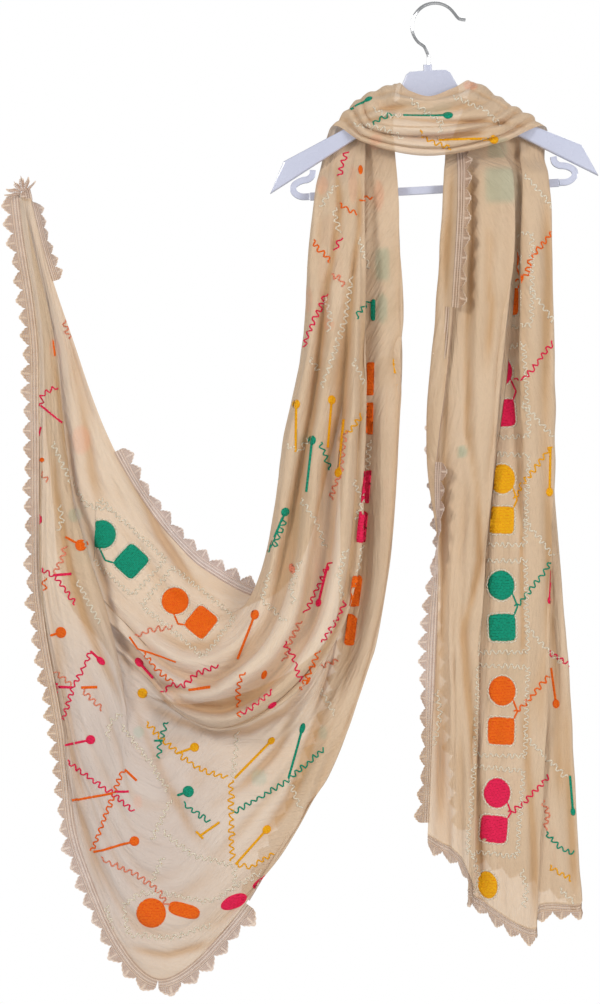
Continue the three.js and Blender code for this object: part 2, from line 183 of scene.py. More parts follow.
lilac, nodes, links, shader = new_material("moulded lilac plastic")
place = nodes.new("ShaderNodeTexCoord").outputs["Object"]
links.new(
    blend_colours(nodes, links, marks(nodes, links, place, 9.0, 0.3), (0.56, 0.59, 0.74), (0.63, 0.66, 0.80)),
    shader.inputs["Base Color"],
)
links.new(
    spread_value(nodes, links, marks(nodes, links, place, 60.0, 0.3), 0.2, 0.34),
    shader.inputs["Roughness"],
)
shader.inputs["Coat Weight"].default_value = 0.35
shader.inputs["Coat Roughness"].default_value = 0.12
raise_by(nodes, links, shader, marks(nodes, links, place, 38.0, 0.5), 0.0003, 0.3)

chrome, nodes, links, shader = new_material("bright hook wire")
place = nodes.new("ShaderNodeTexCoord").outputs["Object"]
brushed = marks(nodes, links, place, 90.0, 0.25)
links.new(
    blend_colours(nodes, links, brushed, (0.50, 0.51, 0.53), (0.66, 0.67, 0.69)),
    shader.inputs["Base Color"],
)
links.new(
    spread_value(nodes, links, marks(nodes, links, place, 240.0, 0.3), 0.16, 0.3),
    shader.inputs["Roughness"],
)
shader.inputs["Metallic"].default_value = 1.0
raise_by(nodes, links, shader, marks(nodes, links, place, 500.0, 0.4), 0.0002, 0.3)


def finish_node(name, material):
    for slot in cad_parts[name].material_slots:
        slot.link = "OBJECT"
        slot.material = material


for name in (
    "hanger_neck",
    "hanger_arm_left",
    "hanger_arm_right",
    "bar_notch_left",
    "bar_notch_right",
    "trouser_bar",
):
    finish_node(name, lilac)
finish_node("hanger_hook", chrome)

# The notches that hold straps: each a flat ribbon of the same plastic, bent in an S below
# the arm and moulded in one with the bar, with a raised rim along both of its edges.


def read_line(points, places, reach=0.009):
    """A soft line through points, an array of (count, ..., 3), read at places 0 to count - 1.
    Where it doubles back, it bows out by less than the reach."""
    step = np.diff(points, axis=0)
    length = np.linalg.norm(step, axis=-1, keepdims=True)
    way = step / np.maximum(length, 1e-9)
    still = np.zeros_like(way[:1])
    both = np.concatenate([still, way]) + np.concatenate([way, still])
    size = np.linalg.norm(both, axis=-1, keepdims=True)
    straight = size / 2
    straight[0] = straight[-1] = 1
    heading = both / np.maximum(size, 1e-9)
    first = np.clip(np.floor(places).astype(int), 0, len(points) - 2)
    part = (places - first).reshape((-1,) + (1,) * (points.ndim - 1))
    span = length[first]

    def leaving(at):
        return heading[at] * (span * straight[at] + np.minimum(span, reach) * (1 - straight[at]))

    two, three = part**2, part**3
    return (
        points[first] * (2 * three - 3 * two + 1)
        + leaving(first) * (three - 2 * two + part)
        + points[first + 1] * (3 * two - 2 * three)
        + leaving(first + 1) * (three - two)
    )


def bent_ribbon(name, line, wide, deep, rim, sunk=0.0010, rounding=0.0003):
    """A plane drawn along a line step by step, then its front and back sunk within a rim."""
    way = np.gradient(np.array(line), axis=0)
    turn = np.pi / 2 - np.arctan2(way[:, 2], way[:, 0])
    bpy.ops.object.select_all(action="DESELECT")
    bpy.ops.mesh.primitive_plane_add(size=1, location=line[0], rotation=(0, turn[0], 0))
    piece = bpy.context.object
    piece.name = piece.data.name = name
    piece.scale = (wide, deep, 1)
    bpy.ops.object.transform_apply(location=True, rotation=True, scale=True)
    bpy.ops.object.mode_set(mode="EDIT")
    bpy.ops.mesh.select_all(action="SELECT")
    for step in range(1, len(line)):
        move = np.array(line[step]) - np.array(line[step - 1])
        bpy.ops.mesh.extrude_region_move(TRANSFORM_OT_translate={"value": tuple(move)})
        bpy.ops.transform.rotate(
            value=-(turn[step] - turn[step - 1]),
            orient_axis="Y",
            orient_type="GLOBAL",
            center_override=tuple(line[step]),
        )
    bpy.ops.mesh.select_all(action="SELECT")
    bpy.ops.mesh.normals_make_consistent(inside=False)
    bpy.ops.mesh.select_mode(type="FACE")
    bpy.ops.mesh.select_all(action="DESELECT")
    bpy.ops.object.mode_set(mode="OBJECT")
    for face in piece.data.polygons:
        face.select = abs(face.normal.y) > 0.9
    bpy.ops.object.mode_set(mode="EDIT")
    bpy.ops.mesh.inset(thickness=rim, depth=-sunk)
    bpy.ops.object.mode_set(mode="OBJECT")
    soft = piece.modifiers.new("soft edges", "BEVEL")
    soft.width, soft.segments, soft.limit_method = rounding, 2, "ANGLE"
    bpy.ops.object.modifier_apply(modifier=soft.name)
    bpy.ops.object.shade_smooth_by_angle(angle=math.radians(40))
    piece.data.materials.append(lilac)
    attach(piece, "root")
    return piece


hanger_middle = -0.0135
roll = math.radians(-3.2)
for side, name, node in (
    (-1, "strap_notch_left", "bar_notch_left"),
    (1, "strap_notch_right", "bar_notch_right"),
):
    bend = []
    for x, z in (
        (0.1470, -0.1935), (0.1482, -0.2000), (0.1535, -0.2042), (0.1600, -0.2052), (0.1668, -0.2078),
        (0.1712, -0.2115), (0.1722, -0.2160), (0.1700, -0.2205), (0.1635, -0.2246), (0.1526, -0.2254),
    ):
        x = hanger_middle + side * x
        bend.append((x * math.cos(roll) + z * math.sin(roll), 0.0, z * math.cos(roll) - x * math.sin(roll)))
    smooth_bend = read_line(np.array(bend), np.linspace(0, len(bend) - 1, 46), reach=0.05)
    ribbon = [tuple(point) for point in smooth_bend]
    piece = bent_ribbon(name, ribbon, wide=0.0076, deep=0.0070, rim=0.0014)
    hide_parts(node)

# ---- Chiffon ----
# One long cloth of sheer cream chiffon. Its left end comes from behind the left arm and
# is swept out to a held corner, the middle lies across the front of both arms, and the
# right end hangs in pleats.

# A fold line has its name, the number and depth of the ripples between it and the next,
# whether that stretch lies flat, and its places from the arm to the end of the cloth. A
# line of the loop runs from the left arm to the right one.

LEFT_FOLDS = [
    ("upper edge", 2, 0.005, True,
     [(-0.092, 0.03, -0.157), (-0.096, 0.02, -0.19), (-0.1, -0.009, -0.227),
      (-0.12, 0.028, -0.517), (-0.2, 0.034, -0.722), (-0.281, 0.022, -0.689),
      (-0.322, 0.015, -0.65), (-0.368, 0.011, -0.587), (-0.413, 0.01, -0.5),
      (-0.459, 0.006, -0.385), (-0.496, 0.001, -0.224)]),
    ("first roll behind", 0, 0, False,
     [(-0.116, 0.027, -0.157), (-0.124, 0.016, -0.19), (-0.138, -0.009, -0.227),
      (-0.18, 0.014, -0.517), (-0.234, 0.022, -0.738), (-0.301, 0.014, -0.748),
      (-0.36, 0.01, -0.695), (-0.399, 0.009, -0.631), (-0.434, 0.008, -0.522),
      (-0.468, 0.005, -0.39), (-0.495, 0.001, -0.225)]),
    ("front of the bunch", 3, 0.009, False,
     [(-0.132, 0.0175, -0.160), (-0.139, 0.008, -0.197), (-0.146, -0.02, -0.227),
      (-0.182, -0.018, -0.517), (-0.238, -0.018, -0.761), (-0.292, -0.012, -0.792),
      (-0.382, 0.002, -0.729), (-0.416, 0.008, -0.663), (-0.453, 0.009, -0.546),
      (-0.477, 0.006, -0.4), (-0.498, 0.001, -0.226)]),
    ("lowest roll", 0, 0, False,
     [(-0.084, 0.0125, -0.159), (-0.086, -0.006, -0.19), (-0.087, -0.03, -0.227),
      (-0.087, -0.03, -0.517), (-0.124, -0.036, -0.778), (-0.26, -0.036, -0.884),
      (-0.374, -0.005, -0.812), (-0.433, 0.006, -0.727), (-0.465, 0.008, -0.58),
      (-0.486, 0.005, -0.418), (-0.502, 0.001, -0.228)]),
    ("band in front", 0, 0, False,
     [(-0.088, 0.0155, -0.158), (-0.09, 0.002, -0.19), (-0.092, -0.022, -0.227),
      (-0.094, -0.013, -0.517), (-0.128, -0.014, -0.77), (-0.267, -0.006, -0.849),
      (-0.368, -0.006, -0.836), (-0.411, -0.009, -0.702), (-0.445, -0.006, -0.574),
      (-0.475, -0.003, -0.407), (-0.504, 0, -0.229)]),
    ("panel", 2, 0.005, True,
     [(-0.097, 0.022, -0.157), (-0.1, 0.009, -0.19), (-0.104, -0.015, -0.227),
      (-0.116, 0.002, -0.517), (-0.128, 0.004, -0.812), (-0.24, -0.008, -0.989),
      (-0.343, -0.006, -1.062), (-0.423, -0.006, -0.936), (-0.456, -0.005, -0.785),
      (-0.481, -0.003, -0.498), (-0.507, 0, -0.23)]),
    ("edge of the panel", 0, 0, False,
     [(-0.05, 0.012, -0.158), (-0.048, -0.001, -0.19), (-0.046, -0.02, -0.227),
      (-0.043, -0.008, -0.500), (-0.077, -0.01, -0.790), (-0.213, -0.006, -1.068),
      (-0.338, -0.003, -1.154), (-0.427, -0.003, -1.02), (-0.4550, -0.002, -0.847),
      (-0.483, -0.001, -0.519), (-0.509, 0, -0.231)]),
    ("lower edge", 0, 0, False,
     [(-0.094, 0.022, -0.158), (-0.095, 0.012, -0.19), (-0.097, -0.008, -0.227),
      (-0.098, 0.012, -0.517), (-0.104, 0.014, -0.798), (-0.229, -0.002, -1.092),
      (-0.338, 0, -1.19), (-0.429, 0, -1.045), (-0.4535, 0, -0.874), (-0.484, 0, -0.531),
      (-0.51, 0, -0.232)]),
]
RIGHT_FOLDS = [
    ("edge at the back", 4, 0.008, False,
     [(0.043, 0.03, -0.16), (0.038, 0.022, -0.184), (0.034, -0.01, -0.212),
      (0.021, 0.032, -0.483), (0.021, 0.03, -0.727), (0.043, 0.024, -1.025)]),
    ("right side", 0, 0, False,
     [(0.138, 0.026, -0.16), (0.136, 0.018, -0.186), (0.137, -0.01, -0.212),
      (0.139, 0.006, -0.483), (0.157, 0.004, -0.727), (0.178, 0, -1.096)]),
    ("second pleat in", 0, 0, False,
     [(0.112, 0.02, -0.16), (0.113, 0.012, -0.184), (0.113, -0.016, -0.212),
      (0.109, -0.002, -0.483), (0.116, -0.002, -0.727), (0.124, -0.003, -1.1)]),
    ("second pleat out", 0, 0, False,
     [(0.134, 0.014, -0.16), (0.134, 0.008, -0.186), (0.137, -0.02, -0.212),
      (0.142, -0.012, -0.483), (0.144, -0.011, -0.727), (0.122, -0.011, -1.126)]),
    ("third pleat in", 0, 0, False,
     [(0.104, 0.009, -0.16), (0.103, -0.001, -0.184), (0.103, -0.028, -0.212),
      (0.104, -0.024, -0.483), (0.106, -0.02, -0.727), (0.1, -0.015, -1.12)]),
    ("third pleat out", 0, 0, False,
     [(0.098, 0.014, -0.16), (0.107, 0.006, -0.184), (0.114, -0.022, -0.212),
      (0.116, -0.015, -0.483), (0.096, -0.021, -0.727), (0.086, -0.017, -1.112)]),
    ("edge of the plain fold", 0, 0, False,
     [(0.084, 0.012, -0.16), (0.084, 0.003, -0.184), (0.085, -0.018, -0.212),
      (0.083, -0.01, -0.483), (0.076, -0.015, -0.727), (0.063, -0.012, -1.097)]),
    ("behind the plain fold", 0, 0, False,
     [(0.06, 0.016, -0.16), (0.056, 0.006, -0.184), (0.05, -0.014, -0.212),
      (0.043, -0.006, -0.483), (0.044, -0.007, -0.727), (0.04, -0.005, -1.08)]),
    ("front fold", 1, 0.003, False,
     [(0.074, 0.008, -0.16), (0.084, -0.003, -0.184), (0.093, -0.029, -0.212),
      (0.079, -0.023, -0.483), (0.057, -0.019, -0.727), (0.046, -0.014, -1.078)]),
    ("front face", 0, 0, False,
     [(0.046, 0.009, -0.16), (0.046, -0.001, -0.184), (0.045, -0.026, -0.212),
      (0.04, -0.02, -0.483), (0.03, -0.015, -0.727), (0.025, -0.011, -1.034)]),
    ("left side", 0, 0, False,
     [(0.012, 0.016, -0.16), (0.012, 0.004, -0.184), (0.009, -0.017, -0.212),
      (-0.003, -0.008, -0.483), (0.012, -0.004, -0.727), (0.006, -0.004, -1.022)]),
    ("edge in front", 0, 0, False,
     [(0.026, 0.007, -0.16), (0.027, -0.006, -0.184), (0.027, -0.029, -0.212),
      (0.014, -0.022, -0.483), (0.002, -0.01, -0.727), (-0.010, -0.008, -1.012)]),
]
SWAG_FOLDS = [
    ("bottom of the loop", 3, 0.005, False,
     [(-0.134, 0.015, -0.165), (-0.124, 0, -0.148), (-0.089, -0.018, -0.17),
      (-0.004, -0.022, -0.187), (0.082, -0.022, -0.17), (0.134, -0.002, -0.149),
      (0.139, 0.015, -0.166)]),
    ("middle crease", 2, 0.0035, False,
     [(-0.096, 0.018, -0.165), (-0.087, 0, -0.112), (-0.077, -0.028, -0.143),
      (-0.004, -0.037, -0.151), (0.065, -0.03, -0.138), (0.091, 0, -0.1205),
      (0.092, 0.018, -0.166)]),
    ("top of the loop", 0, 0, False,
     [(-0.052, 0.015, -0.165), (-0.045, 0.005, -0.096), (-0.033, -0.019, -0.107),
      (-0.009, -0.022, -0.115), (0.021, -0.019, -0.104), (0.043, 0.005, -0.092),
      (0.02, 0.015, -0.166)]),
]


def soft_noise(across, along, seed):
    """Smooth uneven heights from -1 to 1, the same on every run."""
    tiles = 97
    table = np.random.default_rng(seed).uniform(-1, 1, (tiles, tiles))
    column, row = np.floor(across).astype(int), np.floor(along).astype(int)
    x, y = across - column, along - row
    x, y = x * x * (3 - 2 * x), y * y * (3 - 2 * y)
    left, right = column % tiles, (column + 1) % tiles
    lower, upper = row % tiles, (row + 1) % tiles
    a, b = table[left, lower], table[right, lower]
    c, d = table[left, upper], table[right, upper]
    return (a * (1 - x) + b * x) * (1 - y) + (c * (1 - x) + d * x) * y


def grid_normals(points):
    along, across = np.gradient(points, axis=0), np.gradient(points, axis=1)
    normals = np.cross(along, across)
    return normals / np.maximum(np.linalg.norm(normals, axis=-1, keepdims=True), 1e-12)


def stops(lengths, pitch, least):
    """Places 0 to len(lengths), close enough together that a step is about one pitch."""
    places = [0.0]
    for index, length in enumerate(lengths):
        count = max(least[index], round(length / pitch))
        places.extend(index + step / count for step in range(1, count + 1))
    return np.array(places)


def lay_cloth(folds, softness, flat_softness, pitch, seed, crumple):
    """The cloth as a grid of points, with its normals and its length and width at each point."""
    table = np.array([fold[4] for fold in folds], dtype=float).transpose(1, 0, 2)
    down = np.linalg.norm(np.diff(table, axis=0), axis=-1).mean(axis=1)
    wide = np.linalg.norm(np.diff(table, axis=1), axis=-1).max(axis=0)
    along = stops(down, pitch, [3] * len(down))
    across = stops(wide, pitch, [max(6, 12 * fold[1]) for fold in folds[:-1]])
    rows = read_line(table, along)
    points = read_line(rows.transpose(1, 0, 2), across).transpose(1, 0, 2)
    normals = grid_normals(points)
    first = np.clip(np.floor(across).astype(int), 0, len(folds) - 2)
    part = across - first
    count = np.array([folds[index][1] for index in first])
    depth = np.array([folds[index][2] for index in first])
    flat = np.array([folds[index][3] for index in first])
    places = np.arange(len(softness))
    plain, flattened = np.interp(along, places, softness), np.interp(along, places, flat_softness)
    soft = np.where(flat[None, :], flattened[:, None], plain[:, None])
    ripple = depth * np.sin(2 * math.pi * count * part) * (1 - (2 * part - 1) ** 4)
    points = points + normals * (soft * ripple[None, :])[..., None]
    length = np.cumsum(np.linalg.norm(np.diff(points, axis=0, prepend=points[:1]), axis=-1), axis=0)
    width = np.cumsum(np.linalg.norm(np.diff(points, axis=1, prepend=points[:, :1]), axis=-1), axis=1)
    middle = width.max(axis=0)[None, :] * np.ones_like(width)
    # Long folds, gathers and crinkles, each sized by its pitch across and along the cloth, and
    # all but the crinkles lower at the two long edges.
    fold_sway = 0.9 * soft_noise(length / 0.2, width / 0.2, seed)
    long_fold = soft_noise(width / 0.034 + fold_sway, length / 0.30, seed + 1)
    gather_sway = 0.8 * soft_noise(length / 0.12, middle / 0.1, seed + 2)
    gather = soft_noise(middle / 0.013 + gather_sway, length / 0.17, seed + 3)
    crinkle = soft_noise(middle / 0.0062, length / 0.035, seed + 4)
    calm = np.interp(along, places, crumple)[:, None]
    edge = np.minimum(1, np.minimum(across, len(folds) - 1 - across) / 0.35)[None, :] * 0.6 + 0.4
    fold_height, gather_height, crinkle_height = 0.0040, 0.0024, 0.0009
    height = calm * edge * (fold_height * long_fold + gather_height * gather)
    height = height + crinkle_height * crinkle * np.minimum(1, calm * 2)
    normals = grid_normals(points)
    points = points + normals * height[..., None]
    return {
        "points": points,
        "normals": grid_normals(points),
        "length": length,
        "width": width,
        "along": along,
    }


def grid_faces(points):
    """The quads of a grid, by the numbers of its points."""
    rows, columns = points.shape[:2]
    index = np.arange(rows * columns).reshape(rows, columns)
    corners = [index[:-1, :-1], index[:-1, 1:], index[1:, 1:], index[1:, :-1]]
    return np.stack(corners, axis=-1).reshape(-1, 4)


def grid_mesh(name, points, length, width, material):
    """A sheet of quads through a grid of points, with its length and width as its UV map."""
    faces = grid_faces(points)
    mesh = bpy.data.meshes.new(name)
    mesh.from_pydata(points.reshape(-1, 3).tolist(), [], faces.tolist())
    uv = mesh.uv_layers.new(name="cut")
    flat = np.stack([width, length], axis=-1).reshape(-1, 2)
    uv.data.foreach_set("uv", flat[faces.reshape(-1)].astype(np.float32).ravel())
    mesh.polygons.foreach_set("use_smooth", [True] * len(mesh.polygons))
    mesh.materials.append(material)
    mesh.update()
    piece = bpy.data.objects.new(name, mesh)
    bpy.context.collection.objects.link(piece)
    return piece


def make_weave_group():
    """Crossing threads that stray a little: how much thread covers a place."""
    group = bpy.data.node_groups.new("plain weave", "ShaderNodeTree")
    group.interface.new_socket("Vector", in_out="INPUT", socket_type="NodeSocketVector")
    group.interface.new_socket("Threads", in_out="INPUT", socket_type="NodeSocketFloat")
    group.interface.new_socket("Cover", in_out="OUTPUT", socket_type="NodeSocketFloat")
    start = group.nodes.new("NodeGroupInput")
    end = group.nodes.new("NodeGroupOutput")
    stray = group.nodes.new("ShaderNodeTexNoise")
    stray.inputs["Scale"].default_value = 260.0
    sway = group.nodes.new("ShaderNodeVectorMath")
    sway.operation = "MULTIPLY_ADD"
    sway.inputs[1].default_value = (0.0012, 0.0012, 0)
    group.links.new(start.outputs["Vector"], stray.inputs["Vector"])
    group.links.new(stray.outputs["Color"], sway.inputs[0])
    group.links.new(start.outputs["Vector"], sway.inputs[2])
    parts = []
    for direction in ("X", "Y"):
        wave = group.nodes.new("ShaderNodeTexWave")
        wave.bands_direction = direction
        group.links.new(sway.outputs["Vector"], wave.inputs["Vector"])
        group.links.new(start.outputs["Threads"], wave.inputs["Scale"])
        parts.append(wave.outputs["Fac"])
    both = group.nodes.new("ShaderNodeMath")
    both.operation = "MAXIMUM"
    group.links.new(parts[0], both.inputs[0])
    group.links.new(parts[1], both.inputs[1])
    group.links.new(both.outputs[0], end.inputs["Cover"])
    return group


plain_weave = make_weave_group()


def weave(nodes, links, vector, threads):
    node = nodes.new("ShaderNodeGroup")
    node.node_tree = plain_weave
    node.inputs["Threads"].default_value = threads
    links.new(vector, node.inputs["Vector"])
    return node.outputs["Cover"]


def stretch_map(nodes, links, vector, scale):
    node = nodes.new("ShaderNodeMapping")
    node.inputs["Scale"].default_value = scale
    links.new(vector, node.inputs["Vector"])
    return node.outputs["Vector"]


def add_values(nodes, links, first, second, weight):
    node = nodes.new("ShaderNodeMath")
    node.operation = "MULTIPLY_ADD"
    node.inputs[1].default_value = weight
    links.new(second, node.inputs[0])
    links.new(first, node.inputs[2])
    return node.outputs[0]


chiffon, nodes, links, shader = new_material("cream chiffon")
cut = nodes.new("ShaderNodeUVMap")
cut.uv_map = "cut"
cut = cut.outputs["UV"]
patchy = marks(nodes, links, stretch_map(nodes, links, cut, (1.0, 0.45, 1)), 16.0, 0.28)
# Painted shade: in the creases and hollows of the front layer the colour is darkened towards a deep brown.
crease_shade_fac = nodes.new("ShaderNodeAttribute")
crease_shade_fac.attribute_name = "painted_crease_shade"
crease_shade_fac = crease_shade_fac.outputs["Fac"]
crease_shade_mix = nodes.new("ShaderNodeMix")
crease_shade_mix.data_type = "RGBA"
crease_shade_mix.inputs["B"].default_value = (0.52, 0.28, 0.10, 1)
links.new(spread_value(nodes, links, crease_shade_fac, 0.0, 0.62), crease_shade_mix.inputs["Factor"])
# Painted shade: low on the swept end, where a single layer hangs open, the colour is made cooler and greyer
# around one spot.
openly = nodes.new("ShaderNodeVectorMath")
openly.operation = "DISTANCE"
openly.inputs[1].default_value = (-0.44, -0.03, -0.98)
links.new(nodes.new("ShaderNodeTexCoord").outputs["Object"], openly.inputs[0])
open_layer_shade = nodes.new("ShaderNodeMapRange")
open_layer_shade.interpolation_type = "SMOOTHSTEP"
open_layer_shade.inputs["From Min"].default_value = 0.30
open_layer_shade.inputs["From Max"].default_value = 0.10
links.new(openly.outputs["Value"], open_layer_shade.inputs["Value"])
cream = nodes.new("ShaderNodeMix")
cream.data_type = "RGBA"
links.new(open_layer_shade.outputs["Result"], cream.inputs["Factor"])
links.new(blend_colours(nodes, links, patchy, (0.68, 0.485, 0.31), (0.775, 0.59, 0.415)), cream.inputs["A"])
links.new(blend_colours(nodes, links, patchy, (0.56, 0.43, 0.35), (0.65, 0.53, 0.45)), cream.inputs["B"])
links.new(cream.outputs["Result"], crease_shade_mix.inputs["A"])
tinted = crease_shade_mix.outputs["Result"]
# Painted light: the front layer is tinted teal and coral where stitching behind it would be seen through.
for label, colour in (("painted_teal_show_through", (0.22, 0.44, 0.32)), ("painted_coral_show_through", (0.88, 0.28, 0.14))):
    seen = nodes.new("ShaderNodeAttribute")
    seen.attribute_name = label
    tint = nodes.new("ShaderNodeMix")
    tint.data_type = "RGBA"
    tint.inputs["B"].default_value = (*colour, 1)
    links.new(seen.outputs["Fac"], tint.inputs["Factor"])
    links.new(tinted, tint.inputs["A"])
    tinted = tint.outputs["Result"]
links.new(tinted, shader.inputs["Base Color"])
links.new(spread_value(nodes, links, patchy, 0.62, 0.75), shader.inputs["Roughness"])
cover = weave(nodes, links, cut, 700.0)
crepe = marks(nodes, links, stretch_map(nodes, links, cut, (1.0, 0.28, 1)), 420.0, 0.3)
# The same painted-shade mask also makes the cloth less see-through in its creases.
thickness = add_values(nodes, links, add_values(nodes, links, cover, crepe, 0.45), crease_shade_fac, 0.5)
links.new(spread_value(nodes, links, thickness, 0.52, 0.93), shader.inputs["Alpha"])
crease = marks(nodes, links, stretch_map(nodes, links, cut, (1.0, 0.10, 1)), 150.0, 0.35)
slant = nodes.new("ShaderNodeMapping")
slant.inputs["Rotation"].default_value = (0, 0, 0.5)
slant.inputs["Scale"].default_value = (1.0, 0.22, 1)
links.new(cut, slant.inputs["Vector"])
rumple = marks(nodes, links, slant.outputs["Vector"], 46.0, 0.3)
folds = add_values(nodes, links, add_values(nodes, links, crease, crepe, 0.25), rumple, 0.7)
raise_by(nodes, links, shader, folds, 0.0024, 0.8)
shader.inputs["Sheen Weight"].default_value = 0.2
shader.inputs["Sheen Roughness"].default_value = 0.45
shader.inputs["Specular IOR Level"].default_value = 0.3

fall_left = lay_cloth(
    LEFT_FOLDS,
    [0.1, 0.1, 0.15, 1, 1, 1, 0.5, 0.3, 0.12, 0.05, 0],
    [0.1, 0.1, 0.15, 1, 0.2, 0.15, 0.1, 0.1, 0.05, 0, 0],
    0.0036,
    11,
    [0.15, 0.2, 0.35, 0.9, 1.0, 1.2, 1.1, 0.9, 0.6, 0.35, 0.05],
)
fall_right = lay_cloth(
    RIGHT_FOLDS,
    [0.1, 0.1, 0.1, 1, 1, 0.5],
    [0.1, 0.1, 0.1, 1, 1, 0.5],
    0.0036,
    23,
    [0.15, 0.2, 0.35, 0.9, 1.0, 0.9],
)
loop = lay_cloth(
    SWAG_FOLDS,
    [0.2, 0.25, 0.8, 1, 0.8, 0.25, 0.2],
    [0.2, 0.25, 0.8, 1, 0.8, 0.25, 0.2],
    0.0022,
    37,
    [0.2, 0.5, 1.0, 1.0, 1.0, 0.5, 0.2],
)


def bow_out(cloth, push, middle, reach, near, far):
    """Lets a long edge bow sideways: most at one height, and from near to far across."""
    points = cloth["points"]
    share = np.clip((points[..., 0] - near) / (far - near), 0, 1)
    points[..., 0] += push * np.exp(-(((points[..., 2] - middle) / reach) ** 2)) * share


bow_out(fall_left, -0.0125, -0.72, 0.13, -0.38, -0.43)
bow_out(fall_left, 0.0085, -0.40, 0.09, -0.10, -0.15)
bow_out(fall_right, -0.0100, -0.56, 0.10, 0.05, 0.01)


def walked(line):
    """How far each point of a line is from its start, along the line."""
    return np.concatenate([[0], np.cumsum(np.linalg.norm(np.diff(line, axis=0), axis=1))])


def blend_neighbours(values):
    """Each value of a grid blended with the four beside it."""
    wide = np.pad(values, 1, mode="edge")
    return (wide[:-2, 1:-1] + wide[2:, 1:-1] + wide[1:-1, :-2] + wide[1:-1, 2:] + 2 * values) / 6


def press_folds(cloth, folds):
    """Soft ridges and troughs on the layer that faces the front. Each is a height, above 0 for
    a ridge, a width and a line of (x, z) places."""
    layer_gap, fade, limit, full_shade_depth = 0.003, 0.05, 0.0075, 0.0030
    points = cloth["points"]
    rows, columns = points.shape[:2]
    tree = BVHTree.FromPolygons(points.reshape(-1, 3).tolist(), grid_faces(points).tolist())
    outer = np.zeros((rows, columns))
    for r in range(rows):
        for c in range(columns):
            x, y, z = points[r, c]
            met = tree.ray_cast(Vector((x, -1, z)), Vector((0, 1, 0)))[0]
            outer[r, c] = 1.0 if met is None or y - met.y < layer_gap else 0.0
    for _ in range(3):
        outer = blend_neighbours(outer)
    push, creased = np.zeros((rows, columns)), np.zeros((rows, columns))
    flat = points[..., [0, 2]]
    for height, width, line in folds:
        line = np.array(line)
        walk = walked(line)
        near, at = np.full((rows, columns), 9.0), np.zeros((rows, columns))
        for a, b, start in zip(line[:-1], line[1:], walk[:-1]):
            span = b - a
            length = np.linalg.norm(span)
            share = np.clip(((flat - a) @ span) / length**2, 0, 1)
            away = np.linalg.norm(flat - a - share[..., None] * span, axis=-1)
            closer = away < near
            near, at = np.where(closer, away, near), np.where(closer, start + share * length, at)
        taper = np.clip(np.minimum(at, walk[-1] - at) / fade, 0, 1)
        uneven = 1 + 0.35 * soft_noise(at / 0.07, at * 0 + height * 1000, 61)
        push += height * uneven * (0.25 + 0.75 * taper) * np.exp(-((near / width) ** 2))
        if height < 0:
            creased += taper * uneven * np.exp(-((near / (0.65 * width)) ** 2))
    push = np.clip(push, -limit, limit) * outer
    points[..., 1] -= push
    cloth["normals"] = grid_normals(points)
    cloth["outer"] = outer
    # The mask of painted shade: high where the front layer lies sunk below its smoothed shape and along its
    # troughs.
    calm = points[..., 1]
    for _ in range(26):
        wide = np.pad(calm, ((0, 0), (1, 1)), mode="edge")
        calm = (wide[:, :-2] + 2 * wide[:, 1:-1] + wide[:, 2:]) / 4
    sunk = np.clip((points[..., 1] - calm) / full_shade_depth, 0, 1)
    painted_crease_shade = np.clip(sunk * 0.8 + 0.75 * creased, 0, 1.25) * outer
    cloth["painted_crease_shade"] = blend_neighbours(painted_crease_shade)


